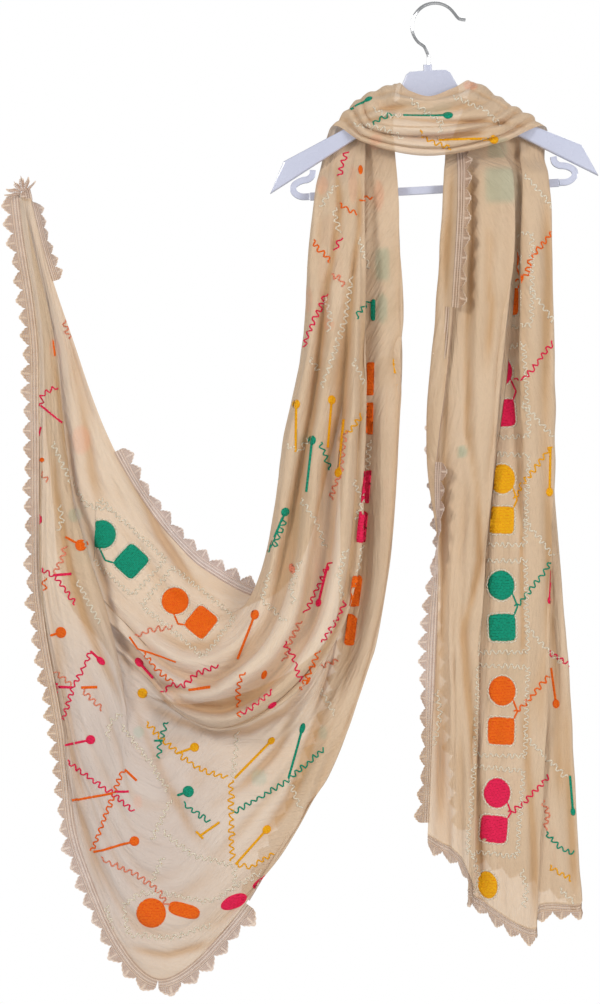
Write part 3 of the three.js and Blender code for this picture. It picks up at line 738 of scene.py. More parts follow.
press_folds(
    fall_left,
    (
        # the bunch below the left arm
        (-0.0070, 0.0040, [
            (-0.1215, -0.1891), (-0.1175, -0.2527), (-0.1269, -0.3135), (-0.1415, -0.4300),
            (-0.1505, -0.5069), (-0.1664, -0.5782), (-0.1830, -0.6533), (-0.1989, -0.7387),
        ]),
        (-0.0070, 0.0040, [
            (-0.0924, -0.2050), (-0.0937, -0.2712), (-0.1016, -0.3346), (-0.1082, -0.4247),
            (-0.1161, -0.5040), (-0.1320, -0.5623), (-0.1440, -0.6277), (-0.1610, -0.7265),
            (-0.1769, -0.7875),
        ]),
        (0.0045, 0.0060, [
            (-0.1061, -0.1909), (-0.1098, -0.3056), (-0.1232, -0.4276), (-0.1330, -0.5313),
            (-0.1488, -0.6289), (-0.1671, -0.7387), (-0.1903, -0.8095),
        ]),
        (0.0040, 0.0055, [
            (-0.1318, -0.2141), (-0.1379, -0.3117), (-0.1525, -0.4215), (-0.1647, -0.5191),
            (-0.1818, -0.6045), (-0.2013, -0.7021),
        ]),
        (0.0045, 0.0060, [
            (-0.0866, -0.1958), (-0.0878, -0.2995), (-0.0952, -0.4093), (-0.1013, -0.5069),
            (-0.1135, -0.6045), (-0.1244, -0.6899), (-0.1427, -0.7753),
        ]),
        (-0.0040, 0.0035, [(-0.1342, -0.2141), (-0.1452, -0.2519)]),
        (-0.0055, 0.0036, [
            (-0.1110, -0.4825), (-0.1147, -0.5313), (-0.1244, -0.5801), (-0.1281, -0.6533),
            (-0.1427, -0.7265), (-0.1586, -0.7875),
        ]),
        # the fold line where the swept end doubles
        (-0.0065, 0.0060, [
            (-0.4692, -0.4093), (-0.4534, -0.5130), (-0.4429, -0.5872), (-0.4270, -0.6295),
            (-0.4058, -0.7037), (-0.3953, -0.7460), (-0.3687, -0.8253),
        ]),
        (0.0050, 0.0090, [
            (-0.4758, -0.3605), (-0.4624, -0.4825), (-0.4526, -0.5874), (-0.4355, -0.6411),
            (-0.4148, -0.7143), (-0.4038, -0.7509), (-0.3794, -0.8290), (-0.3477, -0.9034),
            (-0.3257, -0.9546),
        ]),
        (-0.0040, 0.0070, [
            (-0.4697, -0.5191), (-0.4599, -0.6045), (-0.4453, -0.6838), (-0.4258, -0.7509),
            (-0.3989, -0.8144), (-0.3770, -0.8546),
        ]),
        (-0.0055, 0.0060, [
            (-0.3745, -0.5679), (-0.3581, -0.5978), (-0.3370, -0.6454), (-0.3211, -0.6719),
            (-0.2999, -0.7037), (-0.2684, -0.7265),
        ]),
        (0.0045, 0.0080, [
            (-0.3941, -0.5496), (-0.3745, -0.6045), (-0.3501, -0.6594), (-0.3172, -0.7082),
            (-0.2745, -0.7448),
        ]),
        (0.0035, 0.0100, [
            (-0.4331, -0.3971), (-0.4136, -0.4825), (-0.4038, -0.5679), (-0.3892, -0.6289),
        ]),
        (-0.0035, 0.0080, [
            (-0.4502, -0.3971), (-0.4307, -0.4947), (-0.4209, -0.5679), (-0.4038, -0.6289),
        ]),
        # the rolls at the bottom of the sweep
        (0.0050, 0.0060, [
            (-0.3758, -0.7716), (-0.3575, -0.8144), (-0.3343, -0.8412), (-0.2989, -0.8473),
            (-0.2647, -0.8387), (-0.2403, -0.8180), (-0.2111, -0.7814),
        ]),
        (-0.0055, 0.0050, [
            (-0.3867, -0.7655), (-0.3648, -0.8046), (-0.3379, -0.8290), (-0.3013, -0.8351),
            (-0.2696, -0.8278), (-0.2428, -0.8046), (-0.2184, -0.7631),
        ]),
        (0.0050, 0.0050, [
            (-0.3355, -0.8509), (-0.2879, -0.8619), (-0.2525, -0.8680), (-0.2233, -0.8558),
            (-0.1781, -0.8021), (-0.1647, -0.7631),
        ]),
        (-0.0058, 0.0045, [
            (-0.3599, -0.7997), (-0.3260, -0.8485), (-0.2965, -0.8558), (-0.2562, -0.8595),
            (-0.2184, -0.8436), (-0.1891, -0.8095), (-0.1732, -0.7631),
        ]),
        (-0.0065, 0.0060, [
            (-0.3477, -0.8558), (-0.3120, -0.8753), (-0.2700, -0.8875), (-0.2281, -0.8863),
            (-0.1842, -0.8631), (-0.1549, -0.8241),
        ]),
        (0.0035, 0.0070, [
            (-0.3477, -0.7753), (-0.3172, -0.7997), (-0.2806, -0.8021), (-0.2477, -0.7753),
            (-0.2257, -0.7411),
        ]),
        (-0.0030, 0.0060, [
            (-0.3355, -0.7655), (-0.3087, -0.7826), (-0.2769, -0.7826), (-0.2477, -0.7533),
        ]),
        # the open field and the long folds at its right
        (0.0040, 0.0110, [(-0.1440, -0.8173), (-0.1775, -0.9095), (-0.2281, -0.9714)]),
        (-0.0045, 0.0080, [(-0.1610, -0.8363), (-0.1940, -0.9119), (-0.2379, -0.9583)]),
        (-0.0042, 0.0070, [
            (-0.1281, -0.7875), (-0.1476, -0.8851), (-0.1769, -0.9705), (-0.2111, -1.0193),
        ]),
        (0.0045, 0.0080, [
            (-0.1122, -0.7997), (-0.1342, -0.8973), (-0.1647, -0.9888), (-0.2013, -1.0559),
        ]),
        (-0.0035, 0.0060, [
            (-0.3709, -0.8453), (-0.3456, -0.9071), (-0.3260, -0.9546), (-0.2980, -1.0050),
            (-0.2700, -1.0413),
        ]),
        (0.0030, 0.0100, [(-0.3257, -0.9217), (-0.2916, -0.9705), (-0.2574, -1.0095)]),
        (0.0032, 0.0080, [
            (-0.3867, -1.1352), (-0.3260, -1.1462), (-0.2700, -1.1311), (-0.2306, -1.1023),
        ]),
        (-0.0030, 0.0060, [
            (-0.3794, -1.1511), (-0.3260, -1.1596), (-0.2794, -1.1486), (-0.2428, -1.1230),
        ]),
        (0.0030, 0.0120, [
            (-0.4502, -0.7265), (-0.4331, -0.8485), (-0.4136, -0.9705), (-0.3843, -1.0681),
        ]),
        (-0.0026, 0.0100, [
            (-0.4673, -0.7509), (-0.4502, -0.8729), (-0.4282, -1.0071), (-0.4038, -1.0925),
        ]),
    ),
)
press_folds(
    fall_right,
    (
        (-0.0055, 0.0040, [
            (0.0213, -0.1865), (0.0134, -0.2977), (0.0122, -0.4300), (0.0109, -0.5623),
            (0.0061, -0.6777),
        ]),
        (-0.0065, 0.0045, [
            (0.0426, -0.1918), (0.0412, -0.2977), (0.0386, -0.4032), (0.0386, -0.5225),
            (0.0500, -0.5923), (0.0525, -0.6777), (0.0329, -0.7753),
        ]),
        (0.0050, 0.0070, [
            (0.0525, -0.1897), (0.0549, -0.2995), (0.0476, -0.4032), (0.0476, -0.5191),
            (0.0427, -0.6289),
        ]),
        (-0.0040, 0.0050, [
            (0.0519, -0.2446), (0.0622, -0.2922), (0.0610, -0.3349), (0.0664, -0.3715),
            (0.0598, -0.4581),
        ]),
        (0.0045, 0.0080, [
            (0.0793, -0.2019), (0.0756, -0.3117), (0.0695, -0.4337), (0.0598, -0.5313),
            (0.0549, -0.6289),
        ]),
        (-0.0036, 0.0040, [
            (0.0981, -0.1812), (0.1013, -0.2183), (0.1035, -0.3239), (0.1048, -0.4300),
            (0.1035, -0.5618), (0.1037, -0.6777), (0.1061, -0.8241),
        ]),
        (0.0040, 0.0080, [
            (0.1183, -0.1897), (0.1208, -0.3239), (0.1208, -0.4581), (0.1196, -0.5801),
            (0.1257, -0.7265),
        ]),
        (-0.0040, 0.0070, [
            (0.1318, -0.2385), (0.1330, -0.3849), (0.1318, -0.5313), (0.1379, -0.6777),
            (0.1476, -0.8485), (0.1525, -0.9949),
        ]),
        (0.0045, 0.0080, [
            (0.0207, -0.5801), (0.0159, -0.6777), (0.0134, -0.7753), (0.0183, -0.8729),
            (0.0134, -0.9705),
        ]),
        (-0.0050, 0.0060, [(0.0061, -0.7265), (0.0012, -0.8241), (0.0061, -0.9217), (0.0061, -0.9949)]),
        (-0.0050, 0.0060, [
            (0.0329, -0.7265), (0.0378, -0.8241), (0.0476, -0.9217), (0.0525, -1.0193),
            (0.0573, -1.0925),
        ]),
        (0.0040, 0.0080, [
            (0.0464, -0.7509), (0.0525, -0.8485), (0.0598, -0.9461), (0.0671, -1.0437),
            (0.0769, -1.1108),
        ]),
        (-0.0045, 0.0060, [(0.1049, -0.8363), (0.1135, -0.9461), (0.1196, -1.0437), (0.1220, -1.1291)]),
        (0.0040, 0.0080, [(0.1342, -0.7753), (0.1415, -0.8851), (0.1476, -0.9949), (0.1525, -1.0925)]),
        (-0.0035, 0.0060, [(0.1598, -0.8363), (0.1623, -0.9339), (0.1671, -1.0315), (0.1720, -1.0986)]),
    ),
)
press_folds(
    loop,
    (
        (-0.0045, 0.0030, [
            (-0.1220, -0.1482), (-0.1037, -0.1397), (-0.0769, -0.1324), (-0.0427, -0.1287),
            (-0.0061, -0.1263),
        ]),
        (-0.0045, 0.0030, [
            (-0.1208, -0.1507), (-0.0586, -0.1421), (0.0061, -0.1482), (0.0671, -0.1470),
            (0.1257, -0.1531),
        ]),
        (0.0035, 0.0045, [
            (-0.1098, -0.1311), (-0.0732, -0.1190), (-0.0305, -0.1190), (0.0183, -0.1214),
            (0.0671, -0.1165), (0.0976, -0.1287),
        ]),
        (-0.0040, 0.0030, [
            (-0.0915, -0.1580), (-0.0427, -0.1629), (0.0061, -0.1665), (0.0549, -0.1616),
            (0.0976, -0.1555),
        ]),
        (0.0035, 0.0045, [
            (-0.1013, -0.1519), (-0.0427, -0.1543), (0.0122, -0.1580), (0.0671, -0.1543),
            (0.1098, -0.1507),
        ]),
        (-0.0035, 0.0028, [(-0.0854, -0.1141), (-0.0525, -0.1092), (-0.0281, -0.1165)]),
        (-0.0035, 0.0028, [(0.0146, -0.1128), (0.0427, -0.1067), (0.0793, -0.1238), (0.1061, -0.1409)]),
        (0.0030, 0.0040, [
            (-0.0769, -0.1714), (-0.0305, -0.1775), (0.0061, -0.1836), (0.0427, -0.1763),
            (0.0793, -0.1653),
        ]),
    ),
)


def show_through(cloth, spots):
    """Painted light: how strongly the front layer is tinted with the colour of the stitching on the layer
    behind, standing in for that stitching seen through it. A spot is its (x, z) place, half its width and
    height, its corner as in blob, and its strength."""
    x, z = cloth["points"][..., 0], cloth["points"][..., 2]
    seen = np.zeros_like(x)
    for (left, up), wide, tall, corner, strength in spots:
        away = (np.abs((x - left) / wide) ** corner + np.abs((z - up) / tall) ** corner) ** (1 / corner)
        seen = np.maximum(seen, strength * np.clip((1.2 - away) / 0.35, 0, 1))
    return seen * cloth["outer"]


painted_teal_show_through = (
    ((-0.0651, -0.3190), 0.0074, 0.0190, 6.0, 0.34),
    ((-0.0654, -0.3723), 0.0058, 0.0175, 2.2, 0.34),
    ((0.0769, -0.2236), 0.0177, 0.0215, 7.0, 0.34),
    ((0.0762, -0.1769), 0.0116, 0.0104, 5.0, 0.28),
    ((0.0317, -0.5459), 0.0060, 0.0070, 2.0, 0.40),
    ((-0.3611, -0.8868), 0.0065, 0.0070, 2.0, 0.30),
    ((-0.2147, -0.9425), 0.0090, 0.0085, 3.0, 0.30),
    ((-0.1370, -0.8884), 0.0050, 0.0080, 2.0, 0.25),
    ((-0.4392, -0.6228), 0.0070, 0.0080, 2.0, 0.25),
)
painted_coral_show_through = (
    ((0.0427, -0.0999), 0.0082, 0.0064, 2.4, 0.42),
    ((-0.0732, -0.1687), 0.0072, 0.0060, 2.0, 0.26),
    ((-0.1379, -0.2226), 0.0070, 0.0120, 2.0, 0.24),
    ((-0.0695, -0.2349), 0.0055, 0.0190, 2.0, 0.24),
    ((-0.1013, -0.2226), 0.0050, 0.0240, 2.0, 0.20),
    ((-0.1299, -0.3928), 0.0055, 0.0080, 2.0, 0.26),
    ((-0.1549, -0.3625), 0.0045, 0.0150, 2.0, 0.20),
    ((-0.4331, -0.5313), 0.0110, 0.0170, 2.0, 0.26),
    ((-0.4648, -0.4191), 0.0055, 0.0110, 2.0, 0.24),
    ((-0.3626, -0.9723), 0.0055, 0.0080, 2.0, 0.20),
)
for name, cloth, node in (
    ("cloth_fall_left", fall_left, "fall_left"),
    ("cloth_fall_right", fall_right, "fall_right"),
    ("cloth_loop", loop, "swag_front"),
):
    cloth["piece"] = grid_mesh(name, cloth["points"], cloth["length"], cloth["width"], chiffon)
    for label, values in (
        ("painted_crease_shade", cloth["painted_crease_shade"]),
        ("painted_teal_show_through", show_through(cloth, painted_teal_show_through)),
        ("painted_coral_show_through", show_through(cloth, painted_coral_show_through)),
    ):
        mask = cloth["piece"].data.attributes.new(label, "FLOAT", "POINT")
        mask.data.foreach_set("value", values.ravel().astype(np.float32))
    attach(cloth["piece"], "root")
    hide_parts(node)

# ---- Lace trim ----
# A bought champagne lace sewn along the cloth's edges: three corded lines, a strip of
# net between them and a row of pointed leaves, each leaf with a corded rim and a vein.

lace, nodes, links, shader = new_material("champagne lace")
run = nodes.new("ShaderNodeUVMap")
run.uv_map = "cut"
run = run.outputs["UV"]
cord_mask = nodes.new("ShaderNodeAttribute")
cord_mask.attribute_name = "cord"
cord_mask = cord_mask.outputs["Fac"]
# Painted highlight: the raised cords are coloured lighter than the net between them, with uneven tone over
# both.
cord_highlight_and_tone = add_values(nodes, links, cord_mask, marks(nodes, links, run, 60.0, 0.3), 0.4)
along_cloth = nodes.new("ShaderNodeTexCoord").outputs["Object"]
champagne = nodes.new("ShaderNodeMix")
champagne.data_type = "RGBA"
links.new(marks(nodes, links, along_cloth, 2.6, 0.14), champagne.inputs["Factor"])
links.new(blend_colours(nodes, links, cord_highlight_and_tone, (0.42, 0.235, 0.12), (0.84, 0.64, 0.46)), champagne.inputs["A"])
links.new(blend_colours(nodes, links, cord_highlight_and_tone, (0.50, 0.33, 0.27), (0.90, 0.77, 0.70)), champagne.inputs["B"])
links.new(champagne.outputs["Result"], shader.inputs["Base Color"])
links.new(spread_value(nodes, links, cord_mask, 0.62, 0.42), shader.inputs["Roughness"])
net = weave(nodes, links, run, 150.0)
openness = add_values(nodes, links, spread_value(nodes, links, net, 0.45, 1.1), cord_mask, 0.6)
links.new(openness, shader.inputs["Alpha"])
fibres = marks(nodes, links, run, 500.0, 0.3)
raise_by(nodes, links, shader, add_values(nodes, links, net, fibres, 0.5), 0.0007, 0.8)
shader.inputs["Sheen Weight"].default_value = 0.1


def edge_of(cloth, column, inner, low, high):
    """The edge of a cloth between two places, with a column further in and its normals."""
    rows = np.where((cloth["along"] >= low) & (cloth["along"] <= high))[0]
    normals = cloth["normals"][rows, column]
    facing_front = np.where(normals[:, 1:2] > 0, -normals, normals)
    return cloth["points"][rows, column], cloth["points"][rows, inner], facing_front


def sew_lace(
    name,
    edge,
    inner,
    normals,
    node,
    owner,
    hangs=False,
    tucked=False,
    scale=1.0,
    spacing=0.023,
    tuft=1.0,
    seed=1,
):
    """A strip of lace along an edge, a leaf to each space; a tuft has narrow cords and long leaves."""
    leaf_steps, tuck_behind = 12, 0.0025
    walk = walked(edge)
    leaves = max(1, round(walk[-1] / spacing))
    count = leaves * leaf_steps
    at = np.linspace(0, walk[-1], count + 1)

    def read(values, calm):
        smooth = values
        for _ in range(calm):
            between = (smooth[:-2] + smooth[1:-1] * 2 + smooth[2:]) / 4
            smooth = np.concatenate([smooth[:1], between, smooth[-1:]])
        return np.stack([np.interp(at, walk, smooth[:, axis]) for axis in range(3)], axis=1)

    line, normal, outward = read(edge, 2), read(normals, 40), read(edge - inner, 30)
    run_way = np.gradient(read(edge, 6), axis=0)
    run_way /= np.linalg.norm(run_way, axis=1, keepdims=True)
    out = outward - run_way * (outward * run_way).sum(axis=1, keepdims=True)
    if hangs:
        out = np.tile([0.0, 0.0, -1.0], (count + 1, 1))
    if tucked:
        out, line = -out, line + np.array([0, tuck_behind, 0])
    out /= np.maximum(np.linalg.norm(out, axis=1, keepdims=True), 1e-9)
    normal /= np.maximum(np.linalg.norm(normal, axis=1, keepdims=True), 1e-9)
    chance = np.random.default_rng(seed)
    size = chance.uniform(0.78, 1.12, leaves + 1)
    curl = chance.uniform(-1, 1, leaves + 1)
    lean = chance.uniform(-1, 1, leaves + 1)
    wave = soft_noise(at / 0.05, at * 0 + seed, seed + 5)
    # Across the strip: how far from the cloth's edge, how high, and how much of a cord.
    strip = (
        (-0.0016, 0.0004, 0), (0.0, 0.0008, 0.2), (0.0009, 0.0015, 1), (0.0019, 0.0004, 0),
        (0.0036, 0.0002, 0), (0.0044, 0.0013, 1), (0.0053, 0.0003, 0), (0.0068, 0.0003, 0),
        (0.0076, 0.0014, 1), (0.0086, 0.0004, 0.1),
    )
    leaf_shares = (0.25, 0.5, 0.75, 0.92, 1.0)
    total = len(strip) + len(leaf_shares)
    points = np.zeros((total, count + 1, 3))
    cord = np.zeros((total, count + 1))
    reach = np.zeros((total, count + 1))
    steps = np.arange(count + 1)
    phase = (steps % leaf_steps) / leaf_steps
    leaf = np.minimum(steps // leaf_steps, leaves - 1)
    swell = 1 - np.abs(2 * phase - 1)
    leaf_length, tooth, least = 0.0105, 0.0012, 0.0012
    depth = least + size[leaf] * scale * tuft * (leaf_length * swell**0.72 + tooth * (steps % 2))
    vein = np.where(np.isclose(phase, 0.5), 1.0, 0.0)
    cords = scale / tuft**2
    for row, (distance, height, thick) in enumerate(strip):
        distance *= cords
        points[row] = line + out * distance + normal * height
        cord[row], reach[row] = thick, distance
    for row, share in enumerate(leaf_shares, len(strip)):
        rim = 1.0 if share > 0.9 else 0.0
        away = strip[-1][0] * cords + depth * share
        bend = share * depth * (0.25 * curl[leaf] + 0.25 * wave)
        slide = run_way * (lean[leaf] * 0.0022 * share * swell)[:, None]
        lift = 0.0004 + 0.0009 * rim + 0.0006 * vein
        points[row] = line + out * away[:, None] + normal * (lift + bend)[:, None] + slide
        cord[row] = np.maximum(rim, 0.8 * vein)
        reach[row] = away
    piece = grid_mesh(name, points, np.tile(at, (len(points), 1)), reach, lace)
    mask = piece.data.attributes.new("cord", "FLOAT", "POINT")
    mask.data.foreach_set("value", cord.ravel().astype(np.float32))
    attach(piece, "root")
    if node:
        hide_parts(node)
    owner.append(piece)


left_trims, right_trims = [], []
sew_lace("lace_swept_end", *edge_of(fall_left, -1, 4, 6, 10), "lace_end_left", left_trims, seed=3)
sew_lace("lace_upper_edge", *edge_of(fall_left, 0, 4, 4.3, 7.5), "lace_top_left", left_trims, seed=5)
sew_lace(
    "lace_held_corner",
    *edge_of(fall_left, 0, 4, 9.3, 10),
    None,
    left_trims,
    scale=0.72,
    spacing=0.017,
    seed=7,
)
sew_lace("lace_lower_edge", *edge_of(fall_left, -1, 4, 5.03, 6), "lace_bottom_left", left_trims, seed=9)
sew_lace("lace_tucked_edge", *edge_of(fall_left, -1, 4, 3.0, 5.03), None, left_trims, tucked=True, seed=10)
sew_lace("lace_front_edge", *edge_of(fall_right, -1, -6, 0.3, 2.6), "lace_front_right", right_trims, seed=11)
sew_lace("lace_front_tucked", *edge_of(fall_right, -1, -6, 2.6, 3.3), None, right_trims, tucked=True, seed=12)
sew_lace("lace_front_lower", *edge_of(fall_right, -1, -6, 3.3, 4.95), None, right_trims, seed=14)
sew_lace("lace_rear_edge", *edge_of(fall_right, 0, 4, 2.2, 4.95), "lace_back_right", right_trims, seed=13)
sew_lace(
    "lace_hanging_end",
    fall_right["points"][-1],
    fall_right["points"][-4],
    fall_right["normals"][-1],
    "lace_end_right",
    right_trims,
    hangs=True,
    seed=15,
)
# The tuft at the held corner: lace wound a little over half way round a point.
tuft_radius, tuft_steps = 0.0036, 14
corner_turn = np.linspace(math.radians(15), math.radians(215), tuft_steps)
corner_point = fall_left["points"][-1].mean(axis=0) + np.array([0, -0.002, -0.002])
corner_round = np.stack([np.cos(corner_turn), 0 * corner_turn, np.sin(corner_turn)], axis=1)
sew_lace(
    "lace_corner_tuft",
    corner_point + tuft_radius * corner_round,
    np.tile(corner_point, (tuft_steps, 1)),
    np.tile([0.0, -1.0, 0.0], (tuft_steps, 1)),
    None,
    left_trims,
    scale=0.8,
    spacing=0.0021,
    tuft=1.6,
    seed=21,
)

# ---- Embroidery ----
# Machine stitching in bright floss: pairs of a filled disc and a filled square in zigzag
# frames along the long edges, and zigzag lines with pins and short bars in the field.


def floss(name, dark, bright, rough=0.5):
    """Satin thread: fine stitch lines across the run of the stitching, raised by bump and painted in light
    and dark bands as highlights and shade.
    """
    made, nodes, links, shader = new_material(name)
    run = nodes.new("ShaderNodeUVMap")
    run.uv_map = "cut"
    run = run.outputs["UV"]
    lines = nodes.new("ShaderNodeTexWave")
    lines.inputs["Scale"].default_value = 170.0
    lines.inputs["Distortion"].default_value = 1.6
    lines.inputs["Detail Scale"].default_value = 40.0
    links.new(run, lines.inputs["Vector"])
    stitch_glint_and_relief = add_values(nodes, links, lines.outputs["Fac"], marks(nodes, links, run, 430.0, 0.16), 1.3)
    painted_stitch_glint = spread_value(nodes, links, stitch_glint_and_relief, -0.45, 0.85)
    links.new(blend_colours(nodes, links, painted_stitch_glint, dark, bright), shader.inputs["Base Color"])
    links.new(spread_value(nodes, links, stitch_glint_and_relief, rough + 0.15, rough), shader.inputs["Roughness"])
    raise_by(nodes, links, shader, stitch_glint_and_relief, 0.0006, 0.8)
    shader.inputs["Specular IOR Level"].default_value = 0.25
    shader.inputs["Anisotropic"].default_value = 0.4
    return made


# Each floss blends from a painted-shade colour to a painted-highlight colour across its stitch bands.
flosses = {
    "teal": floss("teal floss", (0.0, 0.11, 0.06), (0.0, 0.40, 0.24)),
    "orange": floss("orange floss", (0.88, 0.055, 0.001), (1.0, 0.19, 0.003)),
    "crimson": floss("crimson floss", (0.60, 0.003, 0.032), (1.0, 0.017, 0.115)),
    "amber": floss("amber floss", (0.90, 0.27, 0.001), (1.0, 0.53, 0.003)),
    "gold": floss("pale gold floss", (0.56, 0.33, 0.14), (1.0, 0.96, 0.82), 0.30),
    "rose": floss("rose floss", (0.62, 0.07, 0.04), (0.98, 0.36, 0.22)),
}
stitching = {colour: ([], [], []) for colour in flosses}
all_points, all_faces = [], []
for cloth in (fall_left, fall_right, loop):
    mesh = cloth["piece"].data
    start = len(all_points)
    all_points.extend(v.co.copy() for v in mesh.vertices)
    all_faces.extend([start + v for v in p.vertices] for p in mesh.polygons)
cloth_tree = BVHTree.FromPolygons(all_points, all_faces)
# Drawn from in the order of sewing, so a new line of zigzags changes the ones after it.
hair = np.random.default_rng(77)


def cloth_under(x, z, side, below):
    """The cloth met from the front (side -1) or the back (side 1), below so many layers."""
    past_layer, least_gap = 0.0004, 0.004
    start = Vector((x, side, z))
    for _ in range(below + 1):
        place, normal, _, _ = cloth_tree.ray_cast(start, Vector((0, -side, 0)))
        if place is None:
            return None, None
        start = place + Vector((0, -side * past_layer, 0))
    if side > 0:
        front = cloth_tree.ray_cast(Vector((x, -1, z)), Vector((0, 1, 0)))[0]
        if place.y - front.y < least_gap:
            return None, None
    return place, (-normal if normal.y * side < 0 else normal)


# The two fold lines that hide what lies beyond them, at its left and its right: for each,
# a row of heights and the places of the line there. None where nothing is hidden.
hidden_by = None


def sew(colour, rows, side=-1, below=0):
    """Lays a small grid of (x, z, height, u, v) on the cloth, raised on both of its sides. It is
    cut off at the fold lines that hide the rest of it, and leaves out what would span a step."""
    deepest_step = 0.0055
    points, faces, flats = stitching[colour]
    found = []
    for row in rows:
        line = []
        for x, z, height, u, v in row:
            if side < 0 and hidden_by:
                low, high = (np.interp(z, edge[0], edge[1]) for edge in hidden_by)
                x = min(max(x, low), high)
            place, normal = cloth_under(x, z, side, below)
            line.append(None if place is None else (place, normal, height, u, v))
        found.append(line)
    for face, lift in ((1, 1.0), (-1, 0.5)):
        index = {}
        for r in range(len(found) - 1):
            for c in range(len(found[r]) - 1):
                corners = [(r, c), (r, c + 1), (r + 1, c + 1), (r + 1, c)]
                spots = [found[a][b] for a, b in corners]
                if None in spots:
                    continue
                if max(s[0].y for s in spots) - min(s[0].y for s in spots) > deepest_step:
                    continue
                for corner, spot in zip(corners, spots):
                    if corner not in index:
                        index[corner] = len(points)
                        points.append(spot[0] + spot[1] * (spot[2] * lift * face))
                        flats.append((spot[3], spot[4]))
                quad = [index[corner] for corner in corners]
                a, b, c_, d = (points[k] for k in quad)
                if (c_ - a).cross(d - b).dot(spots[0][1]) * face < 0:
                    quad.reverse()
                faces.append(quad)


def round_or_square(wide, tall, corner, ring, angle):
    """A point of a disc (corner 2) or a rounded square (corner 4 or more), at a share of its size."""
    c, s = math.cos(angle), math.sin(angle)
    reach = ring / (abs(c) ** corner + abs(s) ** corner) ** (1 / corner)
    return wide * reach * c, tall * reach * s


def blob(colour, centre, wide, tall, turn=0.0, corner=2.0, side=-1, below=0, height=0.0013):
    """A filled disc or rounded square, lower towards its rim."""
    turn = math.radians(turn)
    rings = (0.004, 0.3, 0.55, 0.78, 0.92, 1.0)
    rise = (1.0, 1.0, 0.96, 0.9, 0.7, -0.2)
    round_count = 30 if max(wide, tall) > 0.009 else 16
    grid = []
    for ring, lift in zip(rings, rise):
        row = []
        for step in range(round_count + 1):
            angle = 2 * math.pi * step / round_count
            x, z = round_or_square(wide, tall, corner, ring, angle)
            px, pz = x * math.cos(turn) - z * math.sin(turn), x * math.sin(turn) + z * math.cos(turn)
            row.append((centre[0] + px, centre[1] + pz, height * lift, z, x))
        grid.append(row)
    sew(colour, grid, side, below)


def resample(path, step):
    """Even places along a path, about a step apart, and how far along it each of them is."""
    path = np.array(path, dtype=float)
    walk = walked(path)
    at = np.linspace(0, walk[-1], max(2, round(walk[-1] / step) + 1))
    return np.stack([np.interp(at, walk, path[:, 0]), np.interp(at, walk, path[:, 1])], axis=1), at


def along_and_over(line):
    """The direction of a line at each of its points, and the direction across it."""
    way = np.gradient(line, axis=0)
    way /= np.maximum(np.linalg.norm(way, axis=1, keepdims=True), 1e-9)
    over = np.stack([-way[:, 1], way[:, 0]], axis=1)
    return way, over


def thread(colour, path, width=0.0016, height=0.0009, side=-1, below=0, step=0.0022):
    """A raised line of stitches along a path."""
    line, at = resample(path, step)
    _, over = along_and_over(line)
    grid = []
    for share, lift in ((-0.5, -0.15), (-0.25, 0.8), (0.25, 0.8), (0.5, -0.15)):
        spots = line + over * width * share
        grid.append([(x, z, height * lift, u, width * share) for (x, z), u in zip(spots, at)])
    sew(colour, grid, side, below)


def zigzag(colour, path, pitch=0.0092, swing=0.0027, width=0.0019, side=-1, below=0):
    """Stepped zigzag stitching along a path, a little uneven as a machine leaves it."""
    line, _ = resample(path, pitch / 4)
    way, over = along_and_over(line)
    sign = np.where(np.arange(len(line)) % 4 < 2, 1.0, -1.0) * hair.uniform(0.45, 1.3, len(line))
    slip = hair.uniform(-0.45, 0.45, len(line)) * pitch / 4
    uneven_line = line + over * (swing * sign)[:, None] + way * slip[:, None]
    thread(colour, uneven_line, width, 0.0009, side, below, 0.0015)


def pin(colour, head, foot, size=0.0066, squash=1.0, side=-1, below=0):
    """A pin: a round filled head on a straight corded stem."""
    head, foot = np.array(head), np.array(foot)
    way = head - foot
    turn = math.degrees(math.atan2(way[1], way[0]))
    thread(colour, [foot, head], 0.0030, 0.0012, side, below)
    blob(colour, head, size, size * squash, turn, 2.0, side, below)


def bar(colour, start, end, width=0.0034, side=-1, below=0):
    """A short straight bar of satin stitch."""
    thread(colour, [start, end], width, 0.0012, side, below)


def outline(centre, wide, tall, turn, corner, side, below):
    """Fine gold stitching round a disc or square."""
    round_count = 40
    turn = math.radians(turn)
    path = []
    for step in range(round_count + 1):
        angle = 2 * math.pi * step / round_count
        x, z = round_or_square(wide, tall, corner, 1, angle)
        path.append(
            (
                centre[0] + x * math.cos(turn) - z * math.sin(turn),
                centre[1] + x * math.sin(turn) + z * math.cos(turn),
            )
        )
    zigzag("gold", path, 0.0052, 0.0006, 0.0015, side, below)


def pair(colour, disc, square, wide=0.0155, tall=0.0185, side=-1, below=0, leg=1):
    """A border pair: a disc and a rounded square, joined by a small fork, in a zigzag frame."""
    frame_wide, rim = 0.030, 0.0012
    disc, square = np.array(disc), np.array(square)
    way = (disc - square) / np.linalg.norm(disc - square)
    over = np.array([way[1], -way[0]]) * leg
    lean = math.degrees(math.atan2(way[1], way[0])) - 90
    for centre, corner in ((disc, 2.0), (square, 7.0)):
        high = tall if corner == 2.0 else tall * 0.92
        blob(colour, centre, wide, high, lean, corner, side, below)
        outline(centre, wide + rim, high + rim, lean, corner, side, below)
    middle = (disc + square) / 2
    fork = middle + over * (wide + 0.003)
    for end in (disc - way * tall * 0.5 + over * wide * 0.8, square + way * tall * 0.6 + over * wide * 0.8):
        thread(colour, [end, fork], 0.0022, 0.001, side, below)
    far = np.linalg.norm(disc - square) / 2 + tall + 0.012
    frame_stitch = {"pitch": 0.0075, "swing": 0.0026, "width": 0.0016, "side": side, "below": below}
    for sign in (-1, 1):
        beside = over * frame_wide * sign
        zigzag("gold", [middle + way * far + beside, middle - way * far + beside], **frame_stitch)
        beyond = middle + way * far * sign
        zigzag("gold", [beyond + over * frame_wide, beyond - over * frame_wide], **frame_stitch)


